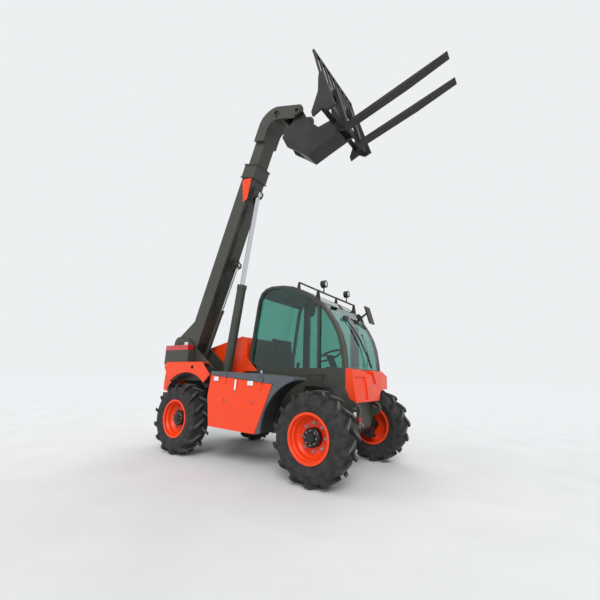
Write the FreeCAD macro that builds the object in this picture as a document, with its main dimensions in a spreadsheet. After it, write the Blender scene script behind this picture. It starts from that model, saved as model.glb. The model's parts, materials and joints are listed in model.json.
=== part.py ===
import FreeCAD, Part
import Sketcher
import math
import os
import re
from types import SimpleNamespace
from FreeCAD import Vector, Rotation, Placement

# Compact telehandler, boom raised, pallet forks fitted. Millimetres.
# +X is forward, +Y is the machine's left, +Z is up, the ground is z = 0.
# The origin lies on the ground under the middle of the whole machine.

doc = FreeCAD.newDocument("Telehandler")
sheet = doc.addObject("Spreadsheet::Sheet", "Sizes")

SIZES = [
    # name, value, what it is
    ("mid_x", -350, "x of the point midway between the axles"),
    ("wheelbase", 2180, "front axle to rear axle"),
    ("half_width", 905, "centreline to the outer face of a tyre"),
    ("tyre_radius", 457, "radius to the tips of the lugs"),
    ("tread_radius", 427, "radius of the tread between the lugs"),
    ("shoulder_radius", 398, "radius where tread meets sidewall"),
    ("bead_radius", 252, "inner radius of the sidewall"),
    ("tyre_width", 305, "section width of a tyre"),
    ("lug_width", 40, "width of a tread lug"),
    ("lug_count", 14, "lugs on each half of a tyre"),
    ("rim_flange", 247, "outer radius of the rim flange"),
    ("rim_seat", 228, "radius of the bead seat"),
    ("rim_width", 270, "width over the flanges"),
    ("rim_wall", 8, "thickness of the rim barrel and disc"),
    ("disc_inset", 4, "inner face of the disc from the rim's middle"),
    ("hub_radius", 96, "radius of the hub drum"),
    ("hub_reach", 76, "hub drum outboard of the disc"),
    ("stub_radius", 30, "stub shaft in the hub"),
    ("run_gap", 0.3, "running clearance of a pin or shaft"),
    ("seat_gap", 0.3, "clearance between seated pieces"),
    ("kingpin_in", 285, "kingpin inboard of the outer face of the tyre"),
    ("kingpin_radius", 18, "radius of the kingpin"),
    ("yoke_half", 125, "half the opening of the axle yoke"),
    ("yoke_plate", 25, "thickness of a yoke plate"),
    ("beam_radius", 68, "axle beam"),
    ("diff_radius", 105, "differential housing"),
    ("rail_y", 260, "inner face of a chassis rail"),
    ("rail_wall", 40, "thickness of a chassis rail"),
    ("rail_low", 350, "underside of the chassis rails"),
    ("rail_waist", 540, "top of the chassis rails under the cab"),
    ("rail_high", 700, "top of the chassis rails over the axles"),
    ("deck_high", 985, "top of the deck over the rear axle"),
    ("deck_thick", 25, "deck plate"),
    ("rail_behind", 640, "rear end of the rails behind the rear axle"),
    ("rail_ahead", 140, "front end of the rails ahead of the front axle"),
    ("boom_angle", 69.5, "boom above the level, as parked"),
    ("pivot_x", -1550, "boom pivot"),
    ("pivot_z", 1500, "boom pivot"),
    ("boom_y", -460, "middle of the boom"),
    ("boom_drop", 285, "boom axis below its pivot, square to the boom"),
    ("outer_deep", 245, "depth of the outer boom"),
    ("outer_wide", 250, "width of the outer boom"),
    ("outer_wall", 10, "wall of the outer boom"),
    ("foot_plate", 18, "side plate of the boom's foot"),
    ("outer_end", 2985, "outer boom's end from the pivot"),
    ("inner_deep", 208, "depth of the inner boom"),
    ("inner_wide", 210, "width of the inner boom"),
    ("inner_wall", 9, "wall of the inner boom"),
    ("inner_start", 1250, "inner boom's hidden end from the pivot"),
    ("slide_gap", 1, "wear pad to inner boom"),
    ("head_along", 3777, "carriage pin from the pivot, along the boom"),
    ("head_drop", 895, "carriage pin below the pivot, square to the boom"),
    ("head_half", 150, "half the width of the boom head"),
    ("head_plate", 22, "side plate of the boom head"),
    ("head_pin", 38, "radius of the carriage pin"),
    ("fork_angle", 14.3, "forks above the level, as parked"),
    ("fork_length", 1200, "fork blade"),
    ("fork_width", 100, "fork blade"),
    ("fork_thick", 40, "fork blade"),
    ("fork_spread", 373, "distance between the blades' middles"),
    ("fork_ahead", 641, "fork shank face ahead of the carriage pin"),
    ("fork_below", 835, "blade top below the carriage pin"),
    ("carriage_half", 520, "half the width of the carriage"),
    ("carriage_high", 1076, "carriage top above the blades"),
    ("bar_low", 120, "lower fork bar above the blades"),
    ("bar_rise", 407, "between the two fork bars"),
    ("lift_low_x", -633, "lower pin of the lift cylinder"),
    ("lift_low_z", 750, "lower pin of the lift cylinder"),
    ("lift_along", 2565, "upper pin of the lift cylinder, along the boom"),
    ("lift_drop", 493, "upper pin of the lift cylinder, below the pivot"),
    ("lift_radius", 65, "lift cylinder barrel"),
    ("lift_share", 0.53, "lift cylinder barrel as a share of the way between its pins"),
    ("lift_rod", 35, "lift cylinder rod"),
    ("comp_y", -402, "middle of the levelling cylinder"),
    ("comp_low_x", -1250.5, "lower pin of the levelling cylinder"),
    ("comp_low_z", 1036, "lower pin of the levelling cylinder"),
    ("comp_along", 1443, "upper pin of the levelling cylinder, along the boom"),
    ("comp_drop", 491, "upper pin of the levelling cylinder, below the pivot"),
    ("comp_radius", 32, "levelling cylinder barrel"),
    ("comp_share", 0.592, "levelling cylinder barrel as a share of the way between its pins"),
    ("comp_rod", 20, "levelling cylinder rod"),
    ("pin_radius", 25, "lift cylinder pins"),
    ("comp_pin", 18, "levelling cylinder pins"),
    ("cab_right", -270, "outer face of the cab's right wall"),
    ("cab_left", 770, "outer face of the cab's left wall"),
    ("cab_wall", 50, "thickness of the cab's walls and door"),
    ("cab_sill", 1120, "window sill"),
    ("cab_floor", 560, "cab floor"),
    ("cab_tube", 40, "width of a cab pillar seen from the side"),
    ("roof_thick", 30, "roof panel"),
    ("glass_thick", 6, "window glass"),
    ("door_back", -60, "rear edge of the door"),
    ("door_front", 800, "front edge of the door"),
    ("door_waist", 985, "lower edge of the door over the front wheel"),
    ("door_low", 590, "lower edge of the door"),
    ("door_gap", 6, "gap round the door"),
    ("cover_y", -850, "outer face of the bonnet side"),
    ("cover_thick", 30, "bonnet side cover"),
    ("bonnet_in", -600, "inner face of the bonnet"),
    ("nose_low", 783, "lower edge of the nose"),
    ("nose_high", 1146, "upper edge of the nose"),
    ("vent_deep", 15, "depth of the pocket in the nose"),
    ("tail_x", -1904, "rear end of the counterweight"),
    ("tail_half", 560, "half the width of the counterweight"),
    ("liner_radius", 590, "inner face of a rear wheel arch liner"),
]

for row, (alias, value, note) in enumerate(SIZES, start=1):
    sheet.set("A%d" % row, alias)
    sheet.set("B%d" % row, str(value))
    sheet.setAlias("B%d" % row, alias)
    sheet.set("C%d" % row, note)
doc.recompute()

NAMES = [entry[0] for entry in SIZES]
v = SimpleNamespace(**{name: float(sheet.get(name)) for name in NAMES})


def formula(text):
    """A formula over the sheet's names, ready for setExpression."""
    return re.sub(r"[a-z][a-z_]+", lambda word: "Sizes." + word.group(0), str(text))


def bind(thing, **formulas):
    for prop, text in formulas.items():
        thing.setExpression(prop, formula(text))


def place_by(thing, x, y, z):
    thing.setExpression(".Placement.Base.x", formula(x))
    thing.setExpression(".Placement.Base.y", formula(y))
    thing.setExpression(".Placement.Base.z", formula(z))


def box(name, x, y, z):
    """A box between two formulas along each axis."""
    thing = doc.addObject("Part::Box", name)
    bind(thing, Length="(%s) - (%s)" % (x[1], x[0]))
    bind(thing, Width="(%s) - (%s)" % (y[1], y[0]))
    bind(thing, Height="(%s) - (%s)" % (z[1], z[0]))
    place_by(thing, x[0], y[0], z[0])
    return thing


TURN = {
    "x": Rotation(Vector(0, 1, 0), 90),
    "y": Rotation(Vector(1, 0, 0), -90),
    "z": Rotation(),
}


def rod(name, axis, start, length, radius):
    """A cylinder from its start point along +x, +y or +z."""
    thing = doc.addObject("Part::Cylinder", name)
    thing.Placement = Placement(Vector(), TURN[axis])
    bind(thing, Radius=radius, Height=length)
    place_by(thing, *start)
    return thing


PLANES = {"xz": "XZ_Plane", "xy": "XY_Plane", "yz": "YZ_Plane"}


def draw(sketch, outline):
    """Closed outline of points; an arc is written (middle point, end point)."""
    start = Vector(outline[0][0], outline[0][1], 0)
    here = start
    for step in outline[1:] + [outline[0]]:
        if isinstance(step[0], tuple):
            middle = Vector(step[0][0], step[0][1], 0)
            there = Vector(step[1][0], step[1][1], 0)
            sketch.addGeometry(Part.Arc(here, middle, there), False)
        else:
            there = Vector(step[0], step[1], 0)
            if (there - here).Length > 1e-6:
                sketch.addGeometry(Part.LineSegment(here, there), False)
        here = there


def prism(name, plane, outlines, low, high):
    """Outlines drawn on an origin plane and padded between two formulas."""
    body = doc.addObject("PartDesign::Body", name)
    sketch = body.newObject("Sketcher::SketchObject", name + "_sketch")
    base = [f for f in body.Origin.OriginFeatures if f.Role == PLANES[plane]][0]
    sketch.AttachmentSupport = [(base, "")]
    sketch.MapMode = "FlatFace"
    offset = "-(%s)" % high if plane == "xz" else low
    sketch.setExpression(".AttachmentOffset.Base.z", formula(offset))
    for outline in outlines:
        draw(sketch, outline)
    pad = body.newObject("PartDesign::Pad", name + "_pad")
    pad.Profile = sketch
    pad.setExpression("Length", formula("(%s) - (%s)" % (high, low)))
    body.Tip = pad
    return body


def turned(name, profile):
    """A profile of (radius, y) points revolved about the Y axis."""
    body = doc.addObject("PartDesign::Body", name)
    sketch = body.newObject("Sketcher::SketchObject", name + "_sketch")
    base = [f for f in body.Origin.OriginFeatures if f.Role == "XY_Plane"][0]
    sketch.AttachmentSupport = [(base, "")]
    sketch.MapMode = "FlatFace"
    draw(sketch, profile)
    turn = body.newObject("PartDesign::Revolution", name + "_turn")
    turn.Profile = sketch
    turn.ReferenceAxis = (sketch, ["V_Axis"])
    turn.Angle = 360
    body.Tip = turn
    return body


def fuse(name, shapes):
    thing = doc.addObject("Part::MultiFuse", name)
    thing.Shapes = shapes
    return thing


def cut(name, base, tool):
    thing = doc.addObject("Part::Cut", name)
    thing.Base = base
    thing.Tool = tool
    return thing


def common(name, first, second):
    thing = doc.addObject("Part::MultiCommon", name)
    thing.Shapes = [first, second]
    return thing


def along(outline):
    """Points given from the middle of the wheelbase, put in the machine's frame."""
    moved = []
    for step in outline:
        if isinstance(step[0], tuple):
            (a, b), (c, d) = step
            moved.append(((a + v.mid_x, b), (c + v.mid_x, d)))
        else:
            moved.append((step[0] + v.mid_x, step[1]))
    return moved


def arc_step(centre, radius, middle_deg, end_deg):
    """The outline step for an arc about a centre, by the angles of its middle and end."""
    points = []
    for deg in (middle_deg, end_deg):
        turn = math.radians(deg)
        points.append((centre[0] + radius * math.cos(turn), centre[1] + radius * math.sin(turn)))
    return tuple(points)


def at_angle(centre, radius, deg):
    turn = math.radians(deg)
    return (centre[0] + radius * math.cos(turn), centre[1] + radius * math.sin(turn))


def inset(points, distance):
    """The outline of straight sides moved inwards by a distance."""
    wire = Part.makePolygon([Vector(x, z, 0) for x, z in points + points[:1]])
    inner = wire.makeOffset2D(-distance, join=2)
    return [(p.Point.x, p.Point.y) for p in inner.OrderedVertexes]


PARTS = []


def keep(name, thing, placement=None):
    thing.Label = name
    if placement is not None:
        thing.Placement = placement
    PARTS.append((name, thing))
    return thing


# Running gear

WHEELS = [
    # tag, axle, side
    ("front_right", 1, -1),
    ("front_left", 1, 1),
    ("rear_right", -1, -1),
    ("rear_left", -1, 1),
]


def wheel_place(axle, side):
    """Wheels are modelled with their outer face towards -Y, about the origin."""
    x = v.mid_x + axle * v.wheelbase / 2
    y = side * (v.half_width - v.tyre_width / 2)
    turn = Rotation(Vector(0, 0, 1), 180) if side > 0 else Rotation()
    return Placement(Vector(x, y, v.tyre_radius), turn)


def polyhedron(corners, faces):
    shell = []
    for face in faces:
        ring = [corners[i] for i in face]
        shell.append(Part.Face(Part.makePolygon(ring + ring[:1])))
    return Part.Solid(Part.makeShell(shell))


def ring_point(radius, y, deg):
    turn = math.radians(deg)
    return Vector(radius * math.cos(turn), y, radius * math.sin(turn))


def carcass():
    """Tyre without lugs: flat facets round the axle, one section table."""
    half = v.tyre_width / 2
    sides = int(1.5 * v.lug_count)
    flat = math.cos(math.pi / sides)
    section = [
        ((v.rim_seat + v.seat_gap) / flat, v.rim_width / 2 - v.rim_wall - v.seat_gap),
        (v.bead_radius, v.rim_width / 2 - v.rim_wall - v.seat_gap),
        (v.bead_radius + 80, half),
        (v.shoulder_radius, half - 6),
        (v.tread_radius, half - 30),
    ]
    loop = section + [(r, -y) for r, y in reversed(section)]
    step = 360.0 / sides
    corners = [ring_point(r, y, k * step) for k in range(sides) for r, y in loop]
    count = len(loop)
    faces = []
    for k in range(sides):
        other = (k + 1) % sides
        for i in range(count):
            j = (i + 1) % count
            faces.append([k * count + i, other * count + i, other * count + j, k * count + j])
    return polyhedron(corners, faces)


def lug(deg, hand):
    """One slanted tread bar, from the shoulder to just past the middle."""
    half = v.tyre_width / 2
    lean = 360.0 / v.lug_count * 0.55
    wide = math.degrees(v.lug_width / v.tyre_radius) / 2
    rows = [
        # y, turn, inner radius, outer radius
        (half - 3, 0.0, v.shoulder_radius - 30, v.tyre_radius - 14),
        (-half * 0.04, lean, v.tread_radius - 20, v.tyre_radius),
    ]
    corners = []
    for y, turn, low, high in rows:
        for spread, radius in ((-wide, low), (wide, low), (wide * 0.8, high), (-wide * 0.8, high)):
            corners.append(ring_point(radius, hand * y, deg + turn + spread))
    faces = [[0, 1, 2], [0, 2, 3], [4, 5, 6], [4, 6, 7]]
    for i in range(4):
        j = (i + 1) % 4
        faces.append([i, j, 4 + j])
        faces.append([i, 4 + j, 4 + i])
    return polyhedron(corners, faces)


def lugged_tyre():
    step = 360.0 / v.lug_count
    lugs = []
    for i in range(int(v.lug_count)):
        lugs.append(lug(i * step, 1))
        lugs.append(lug((i + 0.5) * step, -1))
    return carcass().fuse(lugs).removeSplitter()


def rim_profile():
    """Rim with rolled flanges, a well that narrows to a deep disc, bored for the hub."""
    half = v.rim_width / 2
    wall = v.rim_wall
    seat = v.rim_seat
    inside = seat - wall
    disc = v.disc_inset
    bore = v.stub_radius + v.run_gap
    return [
        (bore, disc),
        (inside - 24, disc),
        (inside, disc + 34),
        (inside, half - 4),
        (inside + 4, half),
        (v.rim_flange, half),
        (v.rim_flange, half - wall),
        (seat, half - wall),
        (seat, wall - half),
        (v.rim_flange, wall - half),
        (v.rim_flange, -half),
        (inside + 4, -half),
        (inside, 4 - half),
        (inside, 34 - half),
        (inside - 14, 54 - half),
        (inside - 24, disc - 44),
        (inside - 56, disc - wall),
        (bore, disc - wall),
    ]


def hub_profile():
    """Hub drum with a stepped cap, closed at its outer end and bored for the stub shaft."""
    disc = v.disc_inset - v.rim_wall - v.seat_gap
    drum = disc - v.hub_reach
    bore = v.stub_radius + v.run_gap
    return [
        (bore, disc),
        (v.hub_radius, disc),
        (v.hub_radius, drum + 12),
        (v.hub_radius - 12, drum),
        (v.hub_radius * 0.55, drum),
        (v.hub_radius * 0.5, drum - 18),
        (0, drum - 18),
        (0, disc - 40),
        (bore, disc - 40),
    ]


def make_wheels():
    shape = lugged_tyre()
    for tag, axle, side in WHEELS:
        place = wheel_place(axle, side)
        tyre = doc.addObject("Part::Feature", "tyre_" + tag)
        tyre.Shape = shape
        keep("tyre_" + tag, tyre, place)
        keep("rim_" + tag, turned("rim_body_" + tag, rim_profile()), place)
        keep("hub_" + tag, turned("hub_body_" + tag, hub_profile()), place)


KINGPIN = "(half_width - kingpin_in)"


def make_knuckle(tag, axle, side):
    """Steering knuckle: boss on the kingpin, spindle and stub shaft towards the wheel."""
    disc_y = "half_width - tyre_width / 2 - disc_inset"
    pivot = "-" + KINGPIN
    boss = rod("boss_" + tag, "z", ("0", pivot, "-(yoke_half - 1)"), "2 * (yoke_half - 1)", 52)
    pin = rod("kingpin_" + tag, "z", ("0", pivot, "-(yoke_half + yoke_plate)"),
              "2 * (yoke_half + yoke_plate)", "kingpin_radius")
    spindle = rod("spindle_" + tag, "y", ("0", "-(%s - 5)" % disc_y, "0"), "%s - 5 - %s" % (disc_y, KINGPIN), 62)
    stub = rod("stub_" + tag, "y", ("0", "-(%s + 40)" % disc_y, "0"), "50", "stub_radius")
    arm = box("arm_" + tag, ("30", "165"), (pivot + " - 18", pivot + " + 18"), ("-48", "-18"))
    whole = fuse("knuckle_" + tag, [boss, pin, spindle, stub, arm])
    x = v.mid_x + axle * v.wheelbase / 2
    turn = Rotation(Vector(0, 0, 1), 180) if side > 0 else Rotation()
    if axle * side < 0:
        arm.setExpression(".Placement.Base.x", "-165")
    keep("knuckle_" + tag, whole, Placement(Vector(x, 0, v.tyre_radius), turn))


def make_axle(tag, axle):
    """Axle beam with its differential, spring pads and the two kingpin yokes."""
    pieces = [
        rod("beam_" + tag, "y", ("0", "-(%s - 85)" % KINGPIN, "0"), "2 * (%s - 85)" % KINGPIN, "beam_radius"),
        rod("diff_" + tag, "y", ("0", "-110", "0"), "220", "diff_radius"),
    ]
    holes = []
    for side in (-1, 1):
        name = "%s_%s" % (tag, "right" if side < 0 else "left")

        def across(inner, outer):
            """Two distances from the centreline, as the two ends along Y on this side."""
            return (inner, outer) if side > 0 else ("-(%s)" % outer, "-(%s)" % inner)

        inner = KINGPIN + " - 100"
        for level in (-1, 1):
            low = "yoke_half" if level > 0 else "-(yoke_half + yoke_plate)"
            pieces.append(box("yoke_%s_%d" % (name, level + 1), ("-50", "50"), across(inner, KINGPIN + " + 50"),
                              (low, "%s + yoke_plate" % low)))
        pieces.append(box("web_" + name, ("-50", "50"), across(inner, KINGPIN + " - 66"),
                          ("-(yoke_half + yoke_plate)", "yoke_half + yoke_plate")))
        pieces.append(box("pad_" + name, ("-85", "85"), across("rail_y", "rail_y + rail_wall"),
                          ("0", "beam_radius + 40 - seat_gap")))
        holes.append(rod("kingpin_hole_" + name, "z", ("0", "%d * %s" % (side, KINGPIN), "-200"), "400",
                         "kingpin_radius + run_gap"))
    bored = cut("axle_" + tag, fuse("axle_whole_" + tag, pieces), fuse("kingpin_holes_" + tag, holes))
    bored.Placement = Placement(Vector(v.mid_x + axle * v.wheelbase / 2, 0, v.tyre_radius), Rotation())
    return bored


def make_running_gear():
    make_wheels()
    keep("axles", fuse("axles_both", [make_axle("front", 1), make_axle("rear", -1)]))
    for tag, axle, side in WHEELS:
        make_knuckle(tag, axle, side)


# Chassis

RAIL_BACK = "(mid_x - wheelbase / 2 - rail_behind)"
RAIL_FRONT = "(mid_x + wheelbase / 2 + rail_ahead)"


def rail_outline():
    """Side view of a chassis rail: low under the cab, notched over both axles."""
    half = v.wheelbase / 2
    back = -half - v.rail_behind
    front = half + v.rail_ahead
    notch = v.tyre_radius + v.beam_radius + 40
    return along([
        (back, v.rail_low + 60),
        (-half - 200, v.rail_low + 60),
        (-half - 110, notch),
        (-half + 110, notch),
        (-half + 240, v.rail_low),
        (half - 240, v.rail_low),
        (half - 110, notch),
        (half + 110, notch),
        (front, v.rail_low + 120),
        (front, v.rail_high),
        (640, v.rail_high),
        (520, v.rail_waist),
        (-360, v.rail_waist),
        (-460, v.rail_high),
        (back, v.rail_high),
    ])


def make_frame():
    """Two rails joined by cross plates, a belly plate, the rear deck and four cab mounts."""
    pieces = [
        prism("rail_right", "xz", [rail_outline()], "-(rail_y + rail_wall)", "-rail_y"),
        prism("rail_left", "xz", [rail_outline()], "rail_y", "rail_y + rail_wall"),
    ]
    across = ("-rail_y", "rail_y")
    outside = ("-(rail_y + rail_wall)", "rail_y + rail_wall")
    pieces.append(box("cross_back", (RAIL_BACK, RAIL_BACK + " + 30"), across,
                      ("rail_low + 60", "rail_high")))
    pieces.append(box("cross_front", (RAIL_FRONT + " - 30", RAIL_FRONT), across,
                      ("rail_low + 120", "rail_high")))
    pieces.append(box("belly", ("mid_x - 840", "mid_x + 840"), across, ("rail_low", "rail_low + 12")))
    low_deck = "deck_high - deck_thick"
    pieces.append(box("deck_wall_back", (RAIL_BACK, RAIL_BACK + " + 30"), outside,
                      ("rail_high", low_deck)))
    pieces.append(box("deck_wall_front", ("mid_x - 560", "mid_x - 530"), outside, ("rail_high", low_deck)))
    pieces.append(box("deck", (RAIL_BACK, "mid_x - 530"), (tower_face(1, True), "580"),
                      (low_deck, "deck_high")))
    for x in (-250, 420):
        for side in (-1, 1):
            y = "%d * (rail_y + rail_wall / 2)" % side
            pieces.append(rod("cab_mount", "z", ("mid_x + %d" % x, y, "rail_waist"), "cab_floor - rail_waist", "30"))
    keep("main_frame", fuse("frame_whole", pieces))


def horn_outline(crest):
    """Side view of a towing horn seated on the end of a rail; the crest is the points under the nose."""
    front = v.wheelbase / 2 + v.rail_ahead
    face = front + v.seat_gap
    seat = v.rail_high + v.seat_gap
    return along([
        (face, seat),
        (face, v.nose_low - 223),
        (front + 32, v.nose_low - 183),
        (front + 111, v.nose_low - 149),
        ((front + 146, v.nose_low - 92), (front + 132, v.nose_low - 36)),
        (front + 94, v.nose_low - 9),
    ] + crest + [
        (front - 100, v.nose_low - 13),
        (front - 160, seat),
    ])


def make_front_plate():
    """Cross plate under the nose between two towing horns bored for a pin, with a round knob on it."""
    front = v.wheelbase / 2 + v.rail_ahead
    crest = [(front + 5, v.nose_low + 36), (front - 41, v.nose_low + 87)]
    face = RAIL_FRONT + " + seat_gap"
    pieces = [
        box("front_slab", (face, RAIL_FRONT + " + 25"), ("-rail_y", "rail_y"), ("rail_low + 150", "nose_low - 7")),
        prism("horn_right", "xz", [horn_outline(crest)], "-(rail_y + rail_wall)", "-rail_y"),
        prism("horn_left", "xz", [horn_outline([])], "rail_y", "rail_y + rail_wall"),
    ]
    hole = rod("tow_holes", "y", (RAIL_FRONT + " + 86", "-(rail_y + 2 * rail_wall)", "nose_low - 52"),
               "2 * (rail_y + 2 * rail_wall)", "26")
    keep("front_plate", cut("front_plate_bored", fuse("front_plate_whole", pieces), hole))
    keep("front_knob", rod("front_knob_disc", "x", (RAIL_FRONT + " + 25 + seat_gap", "-90", "nose_low - 208"), "25",
                           "45"))


def tower_face(side, outer):
    """Formula for a face of a tower plate on one side of the boom."""
    return "boom_y + %d * (outer_wide / 2 + 6%s)" % (side, " + 25" if outer else "")


def tower_outline():
    """Side view of a tower plate: rounded ear about the pivot and a long gusset."""
    ear = (v.pivot_x, v.pivot_z)
    low = v.deck_high - v.deck_thick
    return along([
        at_angle(ear, 110, 180),
        arc_step(ear, 110, 110, 50),
        (-1330, 1570),
        (-720, 1145),
        (-700, low),
        (-1690, low),
        (-1690, 1330),
    ])


def make_tower():
    """Two upright plates beside the boom's foot on a deck, with the boom's pin through both."""
    right = prism("tower_right", "xz", [tower_outline()], tower_face(-1, True), tower_face(-1, False))
    left = prism("tower_left", "xz", [tower_outline()], tower_face(1, False), tower_face(1, True))
    deck = box("tower_deck", ("mid_x - 1690", "mid_x - 700"), (tower_face(-1, True), tower_face(1, True)),
               ("deck_high - deck_thick", "deck_high"))
    pin_low = tower_face(-1, True) + " - 8"
    pin = rod("boom_pin", "y", ("mid_x + pivot_x", pin_low, "pivot_z"),
              "%s + 8 - (%s)" % (tower_face(1, True), pin_low), 40)
    comp_low = "comp_y - comp_radius - 22"
    comp_pin = rod("comp_low_pin", "y", ("mid_x + comp_low_x", comp_low, "comp_low_z"),
                   "%s - (%s)" % (tower_face(1, False), comp_low), "comp_pin")
    ear = (v.comp_low_x, v.comp_low_z)
    lug = along([(ear[0] - 60, v.deck_high), (ear[0] + 60, v.deck_high), (ear[0] + 45, ear[1] + 20),
                 ((ear[0], ear[1] + 45), (ear[0] - 45, ear[1] + 20))])
    comp_ear = prism("comp_ear", "xz", [lug], "comp_y - comp_radius - 22", "comp_y - comp_radius - 8")
    keep("boom_tower", fuse("tower_whole", [right, left, deck, pin, comp_pin, comp_ear]))


def make_lift_foot():
    """Clevis on the frame for the lower pin of the lift cylinder."""
    wide = "(lift_radius + 8)"
    x, z = v.lift_low_x, v.lift_low_z
    outline = along([
        (x + 48, 560),
        (x + 200, 560),
        (x + 60, z + 25),
        ((x, z + 62), (x - 60, z + 10)),
    ])
    pieces = [
        prism("lift_ear_right", "xz", [outline], "boom_y - %s - 18" % wide, "boom_y - %s" % wide),
        prism("lift_ear_left", "xz", [outline], "boom_y + %s" % wide, "boom_y + %s + 18" % wide),
        box("lift_foot_plate", ("mid_x + lift_low_x + 48", "mid_x + lift_low_x + 200"),
            ("boom_y - %s - 18" % wide, "-(rail_y + rail_wall)"), ("560", "590")),
        rod("lift_low_pin", "y", ("mid_x + lift_low_x", "boom_y - %s - 18" % wide, "lift_low_z"),
            "2 * (%s + 18)" % wide, "pin_radius"),
    ]
    keep("lift_foot", fuse("lift_foot_whole", pieces))


def make_rear():
    """Counterweight and tail block across the back, hood over the rear axle, rear fenders, lamp box."""
    across = ("-tail_half", "tail_half")
    keep("counterweight", box("weight_block", ("mid_x + tail_x", RAIL_BACK), across, ("480", "760")))
    front = -v.wheelbase / 2 - v.rail_behind - v.seat_gap
    tail = along([
        (front, 763), (v.tail_x, 800), (v.tail_x, 945), (v.tail_x + 29, 1235), (front, 1250),
    ])
    keep("tail_block", prism("tail_cast", "xz", [tail], *across))
    hood = along([
        (front, v.deck_high), (front, 1250), (-1640, 1345), (-1520, 1380), (-520, 1610), (-440, 1590), (-400, 1500),
        (-400, 1120), (-540, v.deck_high),
    ])
    gusset = along([(-456, 1356), (-397, 1300), (-179, 1113), (-450, 1111)])
    hood_side = tower_face(1, True) + " + 34"
    hood_pieces = [
        prism("hood_block", "xz", [hood], hood_side, "617"),
        prism("hood_gusset", "xz", [gusset], hood_side + " - 18", hood_side + " - seat_gap"),
        box("hood_tie", ("mid_x - 450", "mid_x - 405"), (hood_side + " - 18", hood_side + " + 1"), ("1120", "1290")),
    ]
    keep("rear_hood", fuse("rear_hood_whole", hood_pieces))
    arch = (-v.wheelbase / 2, v.tyre_radius)
    fenders = []
    liners = []
    for tag, side in (("right", -1), ("left", 1)):
        face = along([
            (-1590, 1217), (-1640, 1140),
            at_angle(arch, v.liner_radius + 25, 128),
            arc_step(arch, v.liner_radius + 25, 90, 52),
            (-600, 1040), (-790, 1217),
        ])
        low, high = ("-760", "-735") if side < 0 else ("735", "760")
        skin = prism("fender_face_" + tag, "xz", [face], low, high)
        inner, outer = ("-760", tower_face(-1, True)) if side < 0 else ("617", "760")
        top = box("fender_top_" + tag, ("mid_x - 1590", "mid_x - 790"), (inner, outer), ("1197", "1217"))
        fenders += [skin, top]
        band = along([
            at_angle(arch, v.liner_radius, 140),
            arc_step(arch, v.liner_radius, 92, 45),
            at_angle(arch, v.liner_radius + 10, 45),
            arc_step(arch, v.liner_radius + 10, 92, 140),
        ])
        ends = ("-735", tower_face(-1, True) + " - seat_gap") if side < 0 else ("617 + seat_gap", "735")
        liners.append(prism("arch_band_" + tag, "xz", [band], *ends))
    keep("rear_fenders", fuse("rear_fenders_whole", fenders))
    keep("rear_arch_liners", fuse("rear_liners_both", liners))
    tower = tower_face(-1, True)
    depth = ("-735", tower + " - 10")
    shell = [
        box("lamp_case", ("mid_x - 1640", "mid_x - 1130"), depth, ("1217", "1395")),
        box("lamp_case_rail", ("mid_x - 1690", "mid_x - 1640"), depth, ("1180", "1395")),
        box("lamp_case_foot", ("mid_x - 1690", "mid_x - 1400"), (tower + " - 24", tower), ("1225", "1300")),
    ]
    keep("lamp_box_right", fuse("lamp_box_whole", shell))
    keep("tail_lamp_right", box("tail_lamp_bar", ("mid_x - 1690", "mid_x - 1150"), ("-735", "-640"),
                                ("1395", "1465")))


def cover_hinges():
    """Fixed and moving halves of the two hinges on the bonnet side's sloping upper edge."""
    axis_y = "cover_y - 7"
    skin = ("cover_y - 9", "cover_y")
    fixed, moving = [], []
    for i, x in enumerate((-262, 331)):
        for j, start in enumerate((x - 42, x + 22)):
            fixed.append(rod("rail_knuckle_%d_%d" % (i, j), "x", (str(start), axis_y, "0"), "20", "6"))
            fixed.append(box("rail_tab_%d_%d" % (i, j), (str(start), str(start + 20)), skin, ("3", "12")))
        fixed.append(box("rail_leaf_%d" % i, (str(x - 42), str(x + 42)), skin, ("9", "58")))
        moving.append(rod("cover_knuckle_%d" % i, "x", (str(x - 21), axis_y, "0"), "42", "6"))
        leaf = [
            (x - 21, -3), (x + 21, -3), (x + 21, -10), (x + 30, -16), ((x, -78), (x - 30, -16)), (x - 21, -10),
        ]
        moving.append(prism("cover_leaf_%d" % i, "xz", [leaf], *skin))
    place = Placement(Vector(v.mid_x + 68, 0, 998.5), Rotation(Vector(0, 1, 0), 4.709))
    halves = []
    for name, pieces in (("cover_hinge_fixed", fixed), ("cover_hinge_moving", moving)):
        half = fuse(name, pieces)
        half.Placement = place
        halves.append(half)
    return halves


def arch_strip(name, low, high):
    """Curved edge of the bonnet over the front wheel between two formulas across it, hollow behind."""
    strip = along([
        (354, 411), (424, 425), ((560, 800), (872, 1004)), (872, 1011), (592, 959.5), (589, 955),
    ])
    room = along([(358, 300), (395, 435), (500, 780), (592, 950), (500, 950)])
    return cut(name, prism(name + "_solid", "xz", [strip], low, high),
               prism(name + "_room", "xz", [room], "cover_y + cover_thick + seat_gap", "bonnet_in - 15"))


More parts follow.
